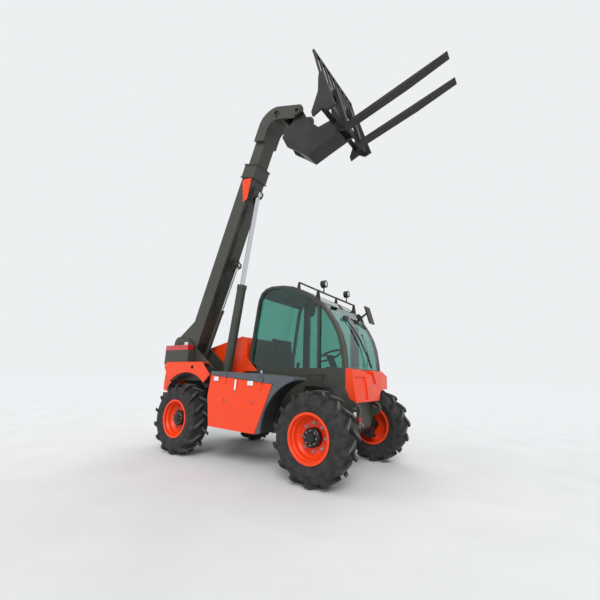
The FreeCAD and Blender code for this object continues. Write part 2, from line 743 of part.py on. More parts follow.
def make_bonnet():
    """Bonnet on the right: floor, end wall and inner wall under a sloping rail; its outer side is hinged."""
    inside = "cover_y + cover_thick + seat_gap"
    floor = box("bonnet_floor", ("mid_x - 420", "mid_x + 340"), (inside, "bonnet_in"), ("415", "430"))
    back = box("bonnet_back", ("mid_x - 435", "mid_x - 420"), (inside, "bonnet_in"), ("415", "1036"))
    wall_line = along([(-435, 415), (420, 415), (545, 780), (600, 955), (-435, 1040)])
    wall = prism("bonnet_wall", "xz", [wall_line], "bonnet_in - 15", "bonnet_in")
    ties = []
    for i, x in enumerate((-300, 250)):
        ties.append(box("bonnet_tie_%d" % i, ("mid_x + %d" % x, "mid_x + %d" % (x + 60)),
                        ("bonnet_in", "-(rail_y + rail_wall)"), ("430", "490")))
    arch = arch_strip("bonnet_arch", inside, "bonnet_in - 15")
    keep("bonnet_box", fuse("bonnet_whole", [floor, back, wall, arch] + ties))
    keep("bonnet_fender", arch_strip("fender_lip", "cover_y", "cover_y + cover_thick"))
    fixed, moving = cover_hinges()
    rail = along([(-455, 1046), (590, 960), (872, 1012), (872, 1036), (560, 1062), (-455, 1092)])
    keep("bonnet_rail", fuse("bonnet_rail_whole", [prism("top_rail", "xz", [rail], "cover_y", "bonnet_in"), fixed]))
    cover = [(-428, 421), (347, 411), (578, 956.5), (-448, 1041), (-487, 779)]
    skin = prism("cover_panel", "xz", [along(cover)], "cover_y", "cover_y + 8")
    liner = prism("cover_liner", "xz", [along(inset(cover, 40))], "cover_y", "cover_y + cover_thick")
    latches = []
    for i, x in enumerate((-179, 287)):
        latches.append(rod("latch_cup_%d" % i, "y", ("mid_x + %d" % x, "cover_y - 5", "744"), "15", "22"))
    whole = fuse("side_cover_whole", [skin, liner, moving])
    keep("side_cover", cut("side_cover_cupped", whole, fuse("latch_cups", latches)))
    keep("engine", box("engine_block", ("mid_x - 380", "mid_x + 280"), ("-800", "bonnet_in - 15"), ("430", "930")))


# Cab

def cab_arch():
    """Side view of the cab above its sill, from the rear corner over the roof to the front."""
    return [
        (-345, v.cab_sill), (-345, 1330), (-303, 1658), (-259, 1973), (-233, 2123), (-184, 2223), (-103, 2280),
        (6, 2302), (216, 2288), (395, 2249), (545, 2184), (690, 2105), (830, 1996), (943, 1860), (1035, 1724),
        (1106, 1580), (1149, 1441), (1173, 1277), (1187, v.cab_sill),
    ]


def arch_height(x):
    """Height of the arch's upper edge."""
    upper = cab_arch()[1:]
    for (x0, z0), (x1, z1) in zip(upper, upper[1:]):
        if x0 <= x <= x1:
            return z0 + (z1 - z0) * (x - x0) / (x1 - x0)


def as_face(points):
    return Part.Face(Part.makePolygon([Vector(x, z, 0) for x, z in points + points[:1]]))


def arch_band(near, far, back, front, low, high):
    """Outline of what lies between two insets of the arch's curve, within a window of x and z."""
    curve = [(x, z if z > v.cab_sill else z - 200) for x, z in cab_arch()]
    shape = as_face(inset(curve, near) if near else curve)
    shape = shape.cut(as_face(inset(curve, far)))
    shape = shape.common(Part.makePlane(front - back, high - low, Vector(back, low, 0)))
    return [(p.Point.x, p.Point.y) for p in shape.Faces[0].OuterWire.OrderedVertexes]


def glass_outline(back, front):
    """Part of the arch's inside between two x positions."""
    shape = as_face(inset(cab_arch(), v.cab_tube))
    shape = shape.common(Part.makePlane(front - back, 2000, Vector(back, 900, 0)))
    return [(p.Point.x, p.Point.y) for p in shape.Faces[0].OuterWire.OrderedVertexes]


def make_cab():
    """Curved frame of two pierced side plates under a roof panel, its glass and a bowed windshield."""
    post = 806
    rear_pane = glass_outline(-1000, post - 18)
    front_pane = glass_outline(post + 18, 3000)
    right = prism("cab_side_right", "xz", [along(cab_arch()), along(rear_pane), along(front_pane)],
                  "cab_right", "cab_right + cab_wall")
    door_hole = door_outline(v.door_gap)
    quarter = glass_outline(-1000, v.door_back - 50)
    front_left = glass_outline(v.door_front + 60, 3000)
    whole = prism("cab_side_left_plate", "xz", [along(cab_arch()), along(quarter), along(front_left)],
                  "cab_left - cab_wall", "cab_left")
    hole = prism("door_hole", "xz", [along(door_hole)], "cab_left - 100", "cab_left + 50")
    left = cut("cab_side_left", whole, hole)
    inner = ("cab_right + cab_wall", "cab_left - cab_wall")
    roof = arch_band(0, v.roof_thick, -184, 545, 2000, 2500)
    bars = [
        box("cab_bar_back", ("mid_x - 345", "mid_x - 295"), inner, ("cab_sill", "cab_sill + 55")),
        box("cab_bar_front", ("mid_x + 1125", "mid_x + 1165"), inner, ("cab_sill", "cab_sill + 40")),
        prism("cab_roof", "xz", [along(roof)], *inner),
    ]
    keep("cab_frame", fuse("cab_frame_whole", [right, left] + bars + frame_hinges()))
    clear = v.seat_gap
    panes = []
    sides = (
        ("right_rear", rear_pane, "cab_right + 20"),
        ("right_front", front_pane, "cab_right + 20"),
        ("left_quarter", quarter, "cab_left - 26"),
        ("left_front", front_left, "cab_left - 26"),
    )
    for name, pane, start in sides:
        panes.append(prism("pane_" + name, "xz", [along(inset(pane, clear))], start, start + " + glass_thick"))
    between = ("cab_right + cab_wall + seat_gap", "cab_left - cab_wall - seat_gap")
    screen = arch_band(0, v.glass_thick + 4, 545 + clear, 2000, v.cab_sill + clear, 2500)
    keep("windshield", prism("windshield_band", "xz", [along(screen)], *between))
    rear = arch_band(10, 10 + v.glass_thick + 1, -400, -190, v.cab_sill + 55 + clear, 2190)
    panes.append(prism("rear_glass_pane", "xz", [along(rear)], *between))
    keep("cab_glass", fuse("cab_glass_whole", panes))


def door_outline(grow):
    """Door edge, cut back over the front wheel; grow widens it to the opening."""
    back, front = v.door_back, v.door_front
    points = [
        (back, v.door_low), (455, v.door_low), (560, v.door_waist), (front, v.door_waist), (front, 1905),
        (690, 2020), (545, 2110), (345, 2185), (130, 2235), (back, 2215),
    ]
    if grow == 0:
        return points
    return inset(points, -grow)


def make_tub():
    """Lower half of the cab: floor, walls and the raised footwell over the front axle."""
    profile = along([
        (-345, v.cab_floor), (520, v.cab_floor), (620, 940), (1187, 940), (1187, v.cab_sill), (-345, v.cab_sill),
    ])
    hollow = along([
        (-295, v.cab_floor + 30), (495, v.cab_floor + 30), (597, 970), (1147, 970), (1147, v.cab_sill + 10),
        (-295, v.cab_sill + 10),
    ])
    block = prism("tub_block", "xz", [profile], "cab_right", "cab_left")
    room = prism("tub_room", "xz", [hollow], "cab_right + cab_wall", "cab_left - cab_wall")
    hole = prism("tub_door_hole", "xz", [along(door_outline(v.door_gap))], "cab_left - 100", "cab_left + 50")
    keep("cab_tub", cut("tub_whole", block, fuse("tub_voids", [room, hole])))


def hinge_points():
    """Height of each door hinge."""
    return (1190, 1760)


HINGE_X = "(mid_x + door_back - 10)"
HINGE_Y = "(cab_left + 14)"


def frame_hinges():
    """Fixed half of each door hinge: a plate on the cab post, two knuckles and the pin."""
    pieces = []
    for i, z in enumerate(hinge_points()):
        pieces.append(box("hinge_plate_%d" % i, (HINGE_X + " - 45", HINGE_X + " - 14"), ("cab_left", "cab_left + 8"),
                          ("%d - 45" % z, "%d + 45" % z)))
        for j, low in enumerate((z - 45, z + 21)):
            pieces.append(rod("hinge_knuckle_%d_%d" % (i, j), "z", (HINGE_X, HINGE_Y, str(low)), "24", "13"))
            pieces.append(box("hinge_tie_%d_%d" % (i, j), (HINGE_X + " - 20", HINGE_X), ("cab_left", HINGE_Y),
                              (str(low), str(low + 24))))
        pieces.append(rod("hinge_pin_%d" % i, "z", (HINGE_X, HINGE_Y, str(z - 45)), "90", "7"))
    return pieces


def make_door():
    outline = door_outline(0)
    light_low = v.door_waist + 75
    light = inset([(v.door_back, light_low), (v.door_front, light_low)] + outline[4:], 60)
    pieces = [prism("door_panel", "xz", [along(outline), along(light)], "cab_left - cab_wall", "cab_left")]
    holes = []
    for i, z in enumerate(hinge_points()):
        pieces.append(rod("door_knuckle_%d" % i, "z", (HINGE_X, HINGE_Y, str(z - 20)), "40", "13"))
        pieces.append(box("door_strap_%d" % i, (HINGE_X, HINGE_X + " + 70"), ("cab_left + 3", HINGE_Y),
                          (str(z - 20), str(z + 20))))
        pieces.append(box("door_pad_%d" % i, ("mid_x + door_back + 4", HINGE_X + " + 70"),
                          ("cab_left - 1", "cab_left + 4"), (str(z - 20), str(z + 20))))
        holes.append(rod("door_pin_hole_%d" % i, "z", (HINGE_X, HINGE_Y, str(z - 50)), "100", "7 + run_gap"))
    keep("door", cut("door_bored", fuse("door_whole", pieces), fuse("door_pin_holes", holes)))
    keep("door_glass", prism("door_pane", "xz", [along(inset(light, v.seat_gap))], "cab_left - 28",
                             "cab_left - 28 + glass_thick"))


def make_interior():
    middle = "(cab_right + cab_left) / 2"
    low = 938 + v.seat_gap
    cushion = along([(-160, low), (290, low), (330, 985), (300, 1040), (-60, 1050), (-160, 1050)])
    keep("seat_cushion", prism("cushion", "xz", [cushion], middle + " - 230", middle + " + 230"))
    low = 1050 + v.seat_gap
    back = along([(-160, low), (-70, low), (-150, 1600), (-190, 1620), (-230, 1600)])
    keep("seat_back", prism("backrest", "xz", [back], middle + " - 215", middle + " + 215"))
    keep("seat_base", box("seat_pedestal", ("mid_x - 120", "mid_x + 240"), (middle + " - 180", middle + " + 180"),
                          ("cab_floor + 30", "938")))
    column = prism("column", "xz", [along([(800, 970), (880, 970), (700, 1340), (640, 1330)])],
                   middle + " - 40", middle + " + 40")
    wheel = doc.addObject("Part::Torus", "steering_rim")
    wheel.Radius1 = 170
    wheel.Radius2 = 14
    wheel.Placement = Placement(Vector(v.mid_x + 670, (v.cab_right + v.cab_left) / 2, 1345),
                                Rotation(Vector(0, 1, 0), -25))
    spoke = box("steering_spoke", ("mid_x + 650", "mid_x + 690"), (middle + " - 165", middle + " + 165"),
                ("1330", "1352"))
    keep("steering_column", fuse("steering_whole", [column, spoke, wheel]))
    dash = along([(900, 970), (1147, 970), (1147, 1100), (900, 1180)])
    keep("dashboard", prism("dash", "xz", [dash], "cab_right + cab_wall", "cab_left - cab_wall"))


def make_nose():
    """Faceted cowl ahead of the cab: a near half with a vent pocket, a far half stepped up over the tyre."""
    back = v.mid_x + 1187 + v.seat_gap
    tip = v.mid_x + 1322
    near, ridge, far = -275, 150, 775
    corners = [
        Vector(back, near, 1161), Vector(back, near, 943), Vector(v.mid_x + 1238, near, 826),
        Vector(tip, near, v.nose_low), Vector(v.mid_x + 1264, near, 1144),
        Vector(back, ridge, 1161), Vector(back, ridge, v.nose_low), Vector(tip, ridge, v.nose_low),
        Vector(tip, ridge, 1096),
    ]
    faces = [
        [0, 1, 2, 3, 4], [0, 5, 6, 1], [1, 6, 2], [2, 6, 7], [2, 7, 3], [3, 7, 8], [3, 8, 4], [4, 8, 5], [4, 5, 0],
        [5, 8, 7, 6],
    ]
    near_half = doc.addObject("Part::Feature", "nose_near")
    near_half.Shape = polyhedron(corners, faces)
    set_back = doc.addObject("Part::Feature", "nose_set_back")
    set_back.Shape = polyhedron(corners, faces)
    set_back.Placement = Placement(Vector(-v.vent_deep, 0, 0), Rotation())
    vent = [(-255, v.nose_low + 17), (50, v.nose_low + 17), (-15, 1067), (-235, 1066)]
    room = cut("vent_room", prism("vent_mask", "yz", [vent], "mid_x + 1230", "mid_x + 1400"), set_back)
    front = [
        (ridge, v.nose_low), (430, v.nose_low), (470, 872), (530, 916), (far, 916), (far, 1086), (560, v.nose_high + 2),
        (ridge, v.nose_high),
    ]
    plan = [(back, ridge), (tip, ridge), (v.mid_x + 1275, far), (back, far)]
    far_half = common("nose_far", prism("nose_front", "yz", [front], "mid_x + 1150", "mid_x + 1400"),
                      prism("nose_plan", "xy", [plan], "nose_low - 50", "nose_high + 50"))
    chin = [(160, 1130), (400, 1122), (355, 995), (275, 985)]
    chin_plan = [(back + 20, ridge), (tip + 18, ridge), (tip - 1, 400), (back + 20, 400)]
    wedge = common("nose_chin", prism("chin_front", "yz", [chin], "mid_x + 1150", "mid_x + 1400"),
                   prism("chin_plan", "xy", [chin_plan], "nose_low", "nose_high"))
    keep("nose", cut("nose_vented", fuse("nose_whole", [near_half, far_half, wedge]), room))


# Boom

def boom_place():
    """Boom pieces are modelled level, pivot at the origin, then turned up about it."""
    return Placement(Vector(v.mid_x + v.pivot_x, 0, v.pivot_z), Rotation(Vector(0, 1, 0), -v.boom_angle))


def tube(name, x, wide, deep, wall):
    """Box section open at its front end, closed by a thick rear plate."""
    outer = box(name + "_out", x, ("boom_y - %s / 2" % wide, "boom_y + %s / 2" % wide),
                ("-boom_drop - %s / 2" % deep, "-boom_drop + %s / 2" % deep))
    hollow = box(name + "_in", (x[0] + " + 20", x[1] + " + 20"),
                 ("boom_y - %s / 2 + %s" % (wide, wall), "boom_y + %s / 2 - %s" % (wide, wall)),
                 ("-boom_drop - %s / 2 + %s" % (deep, wall), "-boom_drop + %s / 2 - %s" % (deep, wall)))
    return cut(name, outer, hollow)


def make_outer_boom():
    case = tube("outer_tube", ("160", "outer_end"), "outer_wide", "outer_deep", "outer_wall")
    top = -v.boom_drop + v.outer_deep / 2
    low = -v.boom_drop - v.outer_deep / 2
    foot = [
        (60, low), (420, low), (560, low + 60), (560, top - 30), (420, top), (80, 75),
        ((0, 108), (-105, 25)), (-60, -140),
    ]
    plates = []
    for side, y in (("right", ("boom_y - outer_wide / 2", "boom_y - outer_wide / 2 + foot_plate")),
                    ("left", ("boom_y + outer_wide / 2 - foot_plate", "boom_y + outer_wide / 2"))):
        plates.append(prism("foot_" + side, "xz", [foot], y[0], y[1]))
    sleeve = rod("foot_sleeve", "y", ("0", "boom_y - outer_wide / 2", "0"), "outer_wide", 70)
    collar_out = box("collar_out", ("outer_end - 215", "outer_end"),
                     ("boom_y - outer_wide / 2 - 14", "boom_y + outer_wide / 2 + 14"),
                     ("-boom_drop - outer_deep / 2 - 14", "-boom_drop + outer_deep / 2 + 14"))
    flanges = []
    for i, start in enumerate(("outer_end - 215", "outer_end - 14")):
        flanges.append(box("collar_flange_%d" % i, (start, start + " + 14"),
                           ("boom_y - outer_wide / 2 - 26", "boom_y + outer_wide / 2 + 26"),
                           ("-boom_drop - outer_deep / 2 - 24", "-boom_drop + outer_deep / 2 + 24")))
    collar_in = box("collar_in", ("outer_end - 260", "outer_end + 40"),
                    ("boom_y - outer_wide / 2 + 1", "boom_y + outer_wide / 2 - 1"),
                    ("-boom_drop - outer_deep / 2 + 1", "-boom_drop + outer_deep / 2 - 1"))
    collar = cut("collar_ring", fuse("collar_flanged", [collar_out] + flanges), collar_in)
    pads = []
    inner = "(inner_deep / 2 + slide_gap)"
    pads.append(box("wear_top", ("outer_end - 120", "outer_end"), ("boom_y - 80", "boom_y + 80"),
                    ("-boom_drop + %s" % inner, "-boom_drop + outer_deep / 2 - 1")))
    pads.append(box("wear_low", ("outer_end - 120", "outer_end"), ("boom_y - 80", "boom_y + 80"),
                    ("-boom_drop - outer_deep / 2 + 1", "-boom_drop - %s" % inner)))
    lift = [
        (v.lift_along - 150, low + 2), (v.lift_along - 60, -v.lift_drop + 25),
        ((v.lift_along, -v.lift_drop - 55), (v.lift_along + 60, -v.lift_drop + 25)), (v.lift_along + 120, low + 2),
    ]
    comp = [
        (v.comp_along - 120, low + 2), (v.comp_along - 50, -v.comp_drop + 10),
        ((v.comp_along, -v.comp_drop - 45), (v.comp_along + 50, -v.comp_drop + 10)), (v.comp_along + 110, low + 2),
    ]
    eyes = []
    for tag, points, centre, half in (("lift", lift, "boom_y", 42), ("comp", comp, "comp_y", 26)):
        near, far = "%s - %d" % (centre, half), "%s + %d" % (centre, half)
        eyes.append(prism(tag + "_ear_a", "xz", [points], near + " - 14", near))
        eyes.append(prism(tag + "_ear_b", "xz", [points], far, far + " + 14"))
        for side, start in (("a", near + " - 26"), ("b", far)):
            eyes.append(rod(tag + "_pin_head_" + side, "y", ("%s_along" % tag, start, "-%s_drop" % tag), "26",
                            "pin_radius + 8"))
    whole = fuse("outer_whole", [case, collar, sleeve] + plates + pads + eyes)
    bore = rod("foot_bore", "y", ("0", "boom_y - outer_wide", "0"), "2 * outer_wide", "40 + run_gap")
    keep("boom_outer", cut("boom_outer_bored", whole, bore), boom_place())


def make_hoses():
    """Hydraulic hoses under the outer boom, bent up into it at both ends."""
    radius, bend = 10, 32
    underside = -v.boom_drop - v.outer_deep / 2 - v.seat_gap
    level = underside - radius - 3
    start, end = v.comp_along - 680, v.lift_along - 185
    hoses = []
    for offset in (-112, -88, -64):
        y = v.boom_y + offset
        low, high = Vector(start, y, level), Vector(end, y, level)
        turn = bend * math.sqrt(0.5)
        first = Part.Arc(low + Vector(-bend, 0, bend), low + Vector(-turn, 0, bend - turn), low)
        last = Part.Arc(high, high + Vector(turn, 0, bend - turn), high + Vector(bend, 0, bend))
        route = Part.Wire([first.toShape(), Part.makeLine(low, high), last.toShape()])
        ring = Part.Wire([Part.makeCircle(radius, low + Vector(-bend, 0, bend), Vector(0, 0, 1))])
        hoses.append(route.makePipeShell([ring], True, False))
    bundle = doc.addObject("Part::Feature", "hose_runs")
    bundle.Shape = Part.makeCompound(hoses)
    room = box("hose_room", (str(start - 100), str(end + 100)), ("boom_y - outer_wide", "boom_y + outer_wide"),
               (str(underside), str(underside + 100)))
    keep("boom_hoses", cut("hoses_trimmed", bundle, room), boom_place())


def make_inner_boom():
    """Inner box with its gooseneck head: side plates, top and back skins, open at the nose."""
    case = tube("inner_tube", ("inner_start", "head_along - 120"), "inner_wide", "inner_deep", "inner_wall")
    top = -v.boom_drop + v.inner_deep / 2
    low = -v.boom_drop - v.inner_deep / 2
    along_x, drop = v.head_along, v.head_drop
    side = [
        (along_x - 420, low), (along_x - 420, top), (along_x - 170, top),
        ((along_x - 42, top - 32), (along_x + 60, top - 125)),
        ((along_x + 102, top - 210), (along_x + 112, top - 320)),
        (along_x + 94, -drop + 20), ((along_x + 54, -drop - 76), (along_x - 26, -drop - 98)),
        (along_x - 95, -drop + 20), (along_x - 95, low - 135), ((along_x - 137, low - 42), (along_x - 240, low)),
    ]
    plates = []
    for tag, y in (("right", ("boom_y - head_half", "boom_y - head_half + head_plate")),
                   ("left", ("boom_y + head_half - head_plate", "boom_y + head_half"))):
        plates.append(prism("head_" + tag, "xz", [side], y[0], y[1]))
    skin = [
        (along_x - 170, top), ((along_x - 42, top - 32), (along_x + 60, top - 125)),
        ((along_x + 102, top - 210), (along_x + 112, top - 320)), (along_x + 104, -drop + 260),
        (along_x + 90, -drop + 260), (along_x + 98, top - 320),
        ((along_x + 89, top - 215), (along_x + 49, top - 134)), ((along_x - 48, top - 45), (along_x - 170, top - 14)),
    ]
    width = ("boom_y - head_half + head_plate", "boom_y + head_half - head_plate")
    back = [
        (along_x - 240, low), ((along_x - 137, low - 42), (along_x - 95, low - 135)), (along_x - 95, -drop + 260),
        (along_x - 81, -drop + 260), (along_x - 81, low - 135), ((along_x - 126, low - 30), (along_x - 240, low + 14)),
    ]
    skins = [prism("head_top", "xz", [skin], *width), prism("head_under", "xz", [back], *width)]
    cheeks = [
        box("head_fill_right", ("head_along - 420", "head_along - 240"),
            ("boom_y - head_half + head_plate", "boom_y - inner_wide / 2"),
            ("-boom_drop - inner_deep / 2", "-boom_drop + inner_deep / 2")),
        box("head_fill_left", ("head_along - 420", "head_along - 240"),
            ("boom_y + inner_wide / 2", "boom_y + head_half - head_plate"),
            ("-boom_drop - inner_deep / 2", "-boom_drop + inner_deep / 2")),
    ]
    boss = rod("neck_boss", "y", ("head_along + 8", "boom_y - head_half - 12", "-479"), "2 * head_half + 24", 56)
    rings = [
        rod("nose_ring_right", "y", ("head_along", "boom_y - head_half - 12", "-head_drop"), "14", 70),
        rod("nose_ring_left", "y", ("head_along", "boom_y + head_half - 2", "-head_drop"), "14", 70),
    ]
    whole = fuse("inner_whole", [case, boss] + plates + skins + cheeks + rings)
    bore = rod("nose_bore", "y", ("head_along", "boom_y - head_half - 50", "-head_drop"), "2 * head_half + 100",
               "head_pin + run_gap")
    eye = rod("neck_eye", "y", ("head_along + 8", "boom_y - head_half - 50", "-479"), "80", 34)
    keep("boom_inner", cut("boom_inner_bored", whole, fuse("head_bores", [bore, eye])), boom_place())


def head_point():
    """Carriage pin in the machine's frame."""
    turn = math.radians(v.boom_angle)
    x = v.mid_x + v.pivot_x + v.head_along * math.cos(turn) + v.head_drop * math.sin(turn)
    z = v.pivot_z + v.head_along * math.sin(turn) - v.head_drop * math.cos(turn)
    return x, z


def carriage_place():
    """Carriage pieces are modelled with level forks and the pin at the origin."""
    x, z = head_point()
    return Placement(Vector(x, 0, z), Rotation(Vector(0, 1, 0), -v.fork_angle))


def make_level_pin():
    """Hollow pin through the boom head that carries the carriage."""
    outer = rod("level_pin_out", "y", ("0", "boom_y - head_half - 16", "0"), "2 * head_half + 32", "head_pin")
    hollow = rod("level_pin_in", "y", ("0", "boom_y - head_half - 30", "0"), "2 * head_half + 60", "head_pin - 12")
    arm = box("level_arm", ("-20", "20"), ("boom_y - 20", "boom_y + 20"), ("20", "60"))
    keep("level_pin", cut("level_pin_whole", fuse("level_pin_solid", [outer, arm]), hollow), carriage_place())


def make_carriage():
    """Hitch on the pin, side plates, two fork bars and the load guard above them."""
    ahead = v.fork_ahead
    floor = -v.fork_below
    arm = [
        (-60, 20), ((0, 62), (60, 10)), (95, -180), (150, -330), (230, -480), (ahead - 160, floor + 315),
        (ahead - 160, floor + 60), (200, floor + 45), (-27, floor + 30), (-151, floor + 207), (-300, floor + 405),
        (-345, floor + 611), (-270, floor + 705), (-120, floor + 745),
    ]
    arms = []
    for tag, y in (("right", ("boom_y - 115", "boom_y - 85")), ("left", ("boom_y + 85", "boom_y + 115"))):
        arms.append(prism("hitch_" + tag, "xz", [arm], y[0], y[1]))
    webs = [
        [(-151, floor + 207), (-27, floor + 30), (-10, floor + 42), (-134, floor + 219)],
        [(-27, floor + 30), (200, floor + 45), (ahead - 160, floor + 60), (ahead - 160, floor + 76), (-22, floor + 47)],
    ]
    for i, web in enumerate(webs):
        arms.append(prism("hitch_web_%d" % i, "xz", [web], "boom_y - 85", "boom_y + 85"))
    low = "-fork_below + bar_low"
    high = "-fork_below + bar_low + bar_rise"
    wide = ("boom_y - carriage_half", "boom_y + carriage_half")
    bars = [
        box("bar_lower", ("fork_ahead - 75", "fork_ahead - 45"), wide, (low + " - 60", low + " + 60")),
        box("bar_upper", ("fork_ahead - 75", "fork_ahead - 45"), wide, (high + " - 60", high + " + 60")),
    ]
    plate = [
        (ahead - 75, floor + 60), (ahead - 75, floor + 590), (ahead - 160, floor + 640), (ahead - 200, floor + 330),
        (ahead - 160, floor + 80),
    ]
    end_plate = [
        (ahead - 96, floor + 40), (ahead + 5, floor + 43), (ahead - 19, floor + 638), (ahead - 73, floor + 648),
        (ahead - 97, floor + 585), (ahead - 147, floor + 396), (ahead - 298, floor + 171), (ahead - 298, floor + 107),
        (ahead - 170, floor + 122),
    ]
    eye = (ahead - 62, floor + 520)
    ring = [at_angle(eye, 20, 0), arc_step(eye, 20, 90, 180), arc_step(eye, 20, 270, 360)]
    ribs = (("boom_y - carriage_half", [end_plate, ring]), ("boom_y - 115", [plate]), ("boom_y + 85", [plate]),
            ("boom_y + carriage_half - 30", [end_plate, ring]))
    for i, (y, outlines) in enumerate(ribs):
        bars.append(prism("carriage_rib_%d" % i, "xz", outlines, y, y + " + 30"))
    guard = [
        box("guard_top", ("fork_ahead - 75", "fork_ahead - 45"), wide,
            ("-fork_below + carriage_high - 40", "-fork_below + carriage_high")),
    ]
    for i in range(9):
        y = "boom_y - carriage_half + %d * (2 * carriage_half - 30) / 8" % i
        guard.append(box("guard_bar_%d" % i, ("fork_ahead - 72", "fork_ahead - 48"), (y, y + " + 30"),
                         (high + " + 50", "-fork_below + carriage_high - 20")))
    cross = rod("hitch_cross", "y", ("fork_ahead - 190", "boom_y - carriage_half + 30", "-fork_below + 280"),
                "2 * carriage_half - 60", 34)
    whole = fuse("carriage_solid", arms + bars + guard + [cross])
    bore = rod("carriage_bore", "y", ("0", "boom_y - 200", "0"), "400", "head_pin + run_gap")
    keep("carriage", cut("carriage_whole", whole, bore), carriage_place())


def make_forks():
    blades = []
    for tag, side in (("right", -1), ("left", 1)):
        ahead, floor = v.fork_ahead, -v.fork_below
        shape = [
            (ahead - 44.5, floor - v.fork_thick), (ahead + v.fork_length * 0.6, floor - v.fork_thick),
            (ahead + v.fork_length, floor - 12), (ahead + v.fork_length, floor), (ahead, floor),
            (ahead, floor + v.bar_low + v.bar_rise + 75), (ahead - 44.5, floor + v.bar_low + v.bar_rise + 75),
        ]
        middle = "boom_y + %d * fork_spread / 2" % side
        blades.append(prism("fork_blade_" + tag, "xz", [shape], middle + " - fork_width / 2",
                            middle + " + fork_width / 2"))
    keep("forks", fuse("forks_both", blades), carriage_place())


def boom_point(distance, drop):
    turn = math.radians(v.boom_angle)
    x = v.mid_x + v.pivot_x + distance * math.cos(turn) + drop * math.sin(turn)
    z = v.pivot_z + distance * math.sin(turn) - drop * math.cos(turn)
    return x, z


def make_cylinder(tag, low, high, y, pin, eye_half):
    """A cylinder lying along +X from its lower pin, then turned to its line."""
    length = math.hypot(high[0] - low[0], high[1] - low[1])
    tilt = math.degrees(math.atan2(high[1] - low[1], high[0] - low[0]))
    place = Placement(Vector(low[0], 0, low[1]), Rotation(Vector(0, 1, 0), -tilt))
    radius, thin = tag + "_radius", tag + "_rod"
    barrel = "(%f * %s_share)" % (length, tag)
    neck = "(%s + 30)" % pin
    case = rod(tag + "_case", "x", (neck, y, "0"), "%s - %s" % (barrel, neck), radius)
    gland = rod(tag + "_gland", "x", (barrel + " - 60", y, "0"), "60", radius + " + 6")
    eye = rod(tag + "_low_eye", "y", ("0", "%s - %s" % (y, radius), "0"), "2 * " + radius, pin + " + 20")
    web = box(tag + "_neck", ("0", neck + " + 5"), ("%s - %s * 0.6" % (y, radius), "%s + %s * 0.6" % (y, radius)),
              ("-(%s + 12)" % pin, pin + " + 12"))
    bore = rod(tag + "_barrel_bore", "x", (neck + " + 40", y, "0"), barrel, thin + " + run_gap")
    hole = rod(tag + "_low_hole", "y", ("0", "%s - 200" % y, "0"), "400", pin + " + run_gap")
    solid = fuse(tag + "_barrel_solid", [case, gland, eye, web])
    keep(tag + "_barrel", cut(tag + "_barrel_cut", solid, fuse(tag + "_bores", [bore, hole])), place)
    inside = "(%s - 90)" % barrel
    shaft = rod(tag + "_shaft", "x", ("%f - %s" % (length, inside), y, "0"), inside, thin)
    ring = rod(tag + "_top_eye", "y", ("%f" % length, "%s - %s" % (y, eye_half), "0"), "2 * (%s)" % eye_half,
               pin + " + 20")
    top = rod(tag + "_top_hole", "y", ("%f" % length, "%s - 200" % y, "0"), "400", pin + " + run_gap")
    keep(tag + "_rod", cut(tag + "_rod_cut", fuse(tag + "_rod_solid", [shaft, ring]), top), place)


def make_cylinders():
    make_cylinder("lift", (v.mid_x + v.lift_low_x, v.lift_low_z), boom_point(v.lift_along, v.lift_drop), "boom_y",
                  "pin_radius", "34")
    make_cylinder("comp", (v.mid_x + v.comp_low_x, v.comp_low_z), boom_point(v.comp_along, v.comp_drop), "comp_y",
                  "comp_pin", "20")


def ellipsoid(name, centre, radii):
    thing = doc.addObject("Part::Ellipsoid", name)
    bind(thing, Radius2=radii[0], Radius3=radii[1], Radius1=radii[2])
    place_by(thing, *centre)
    return thing


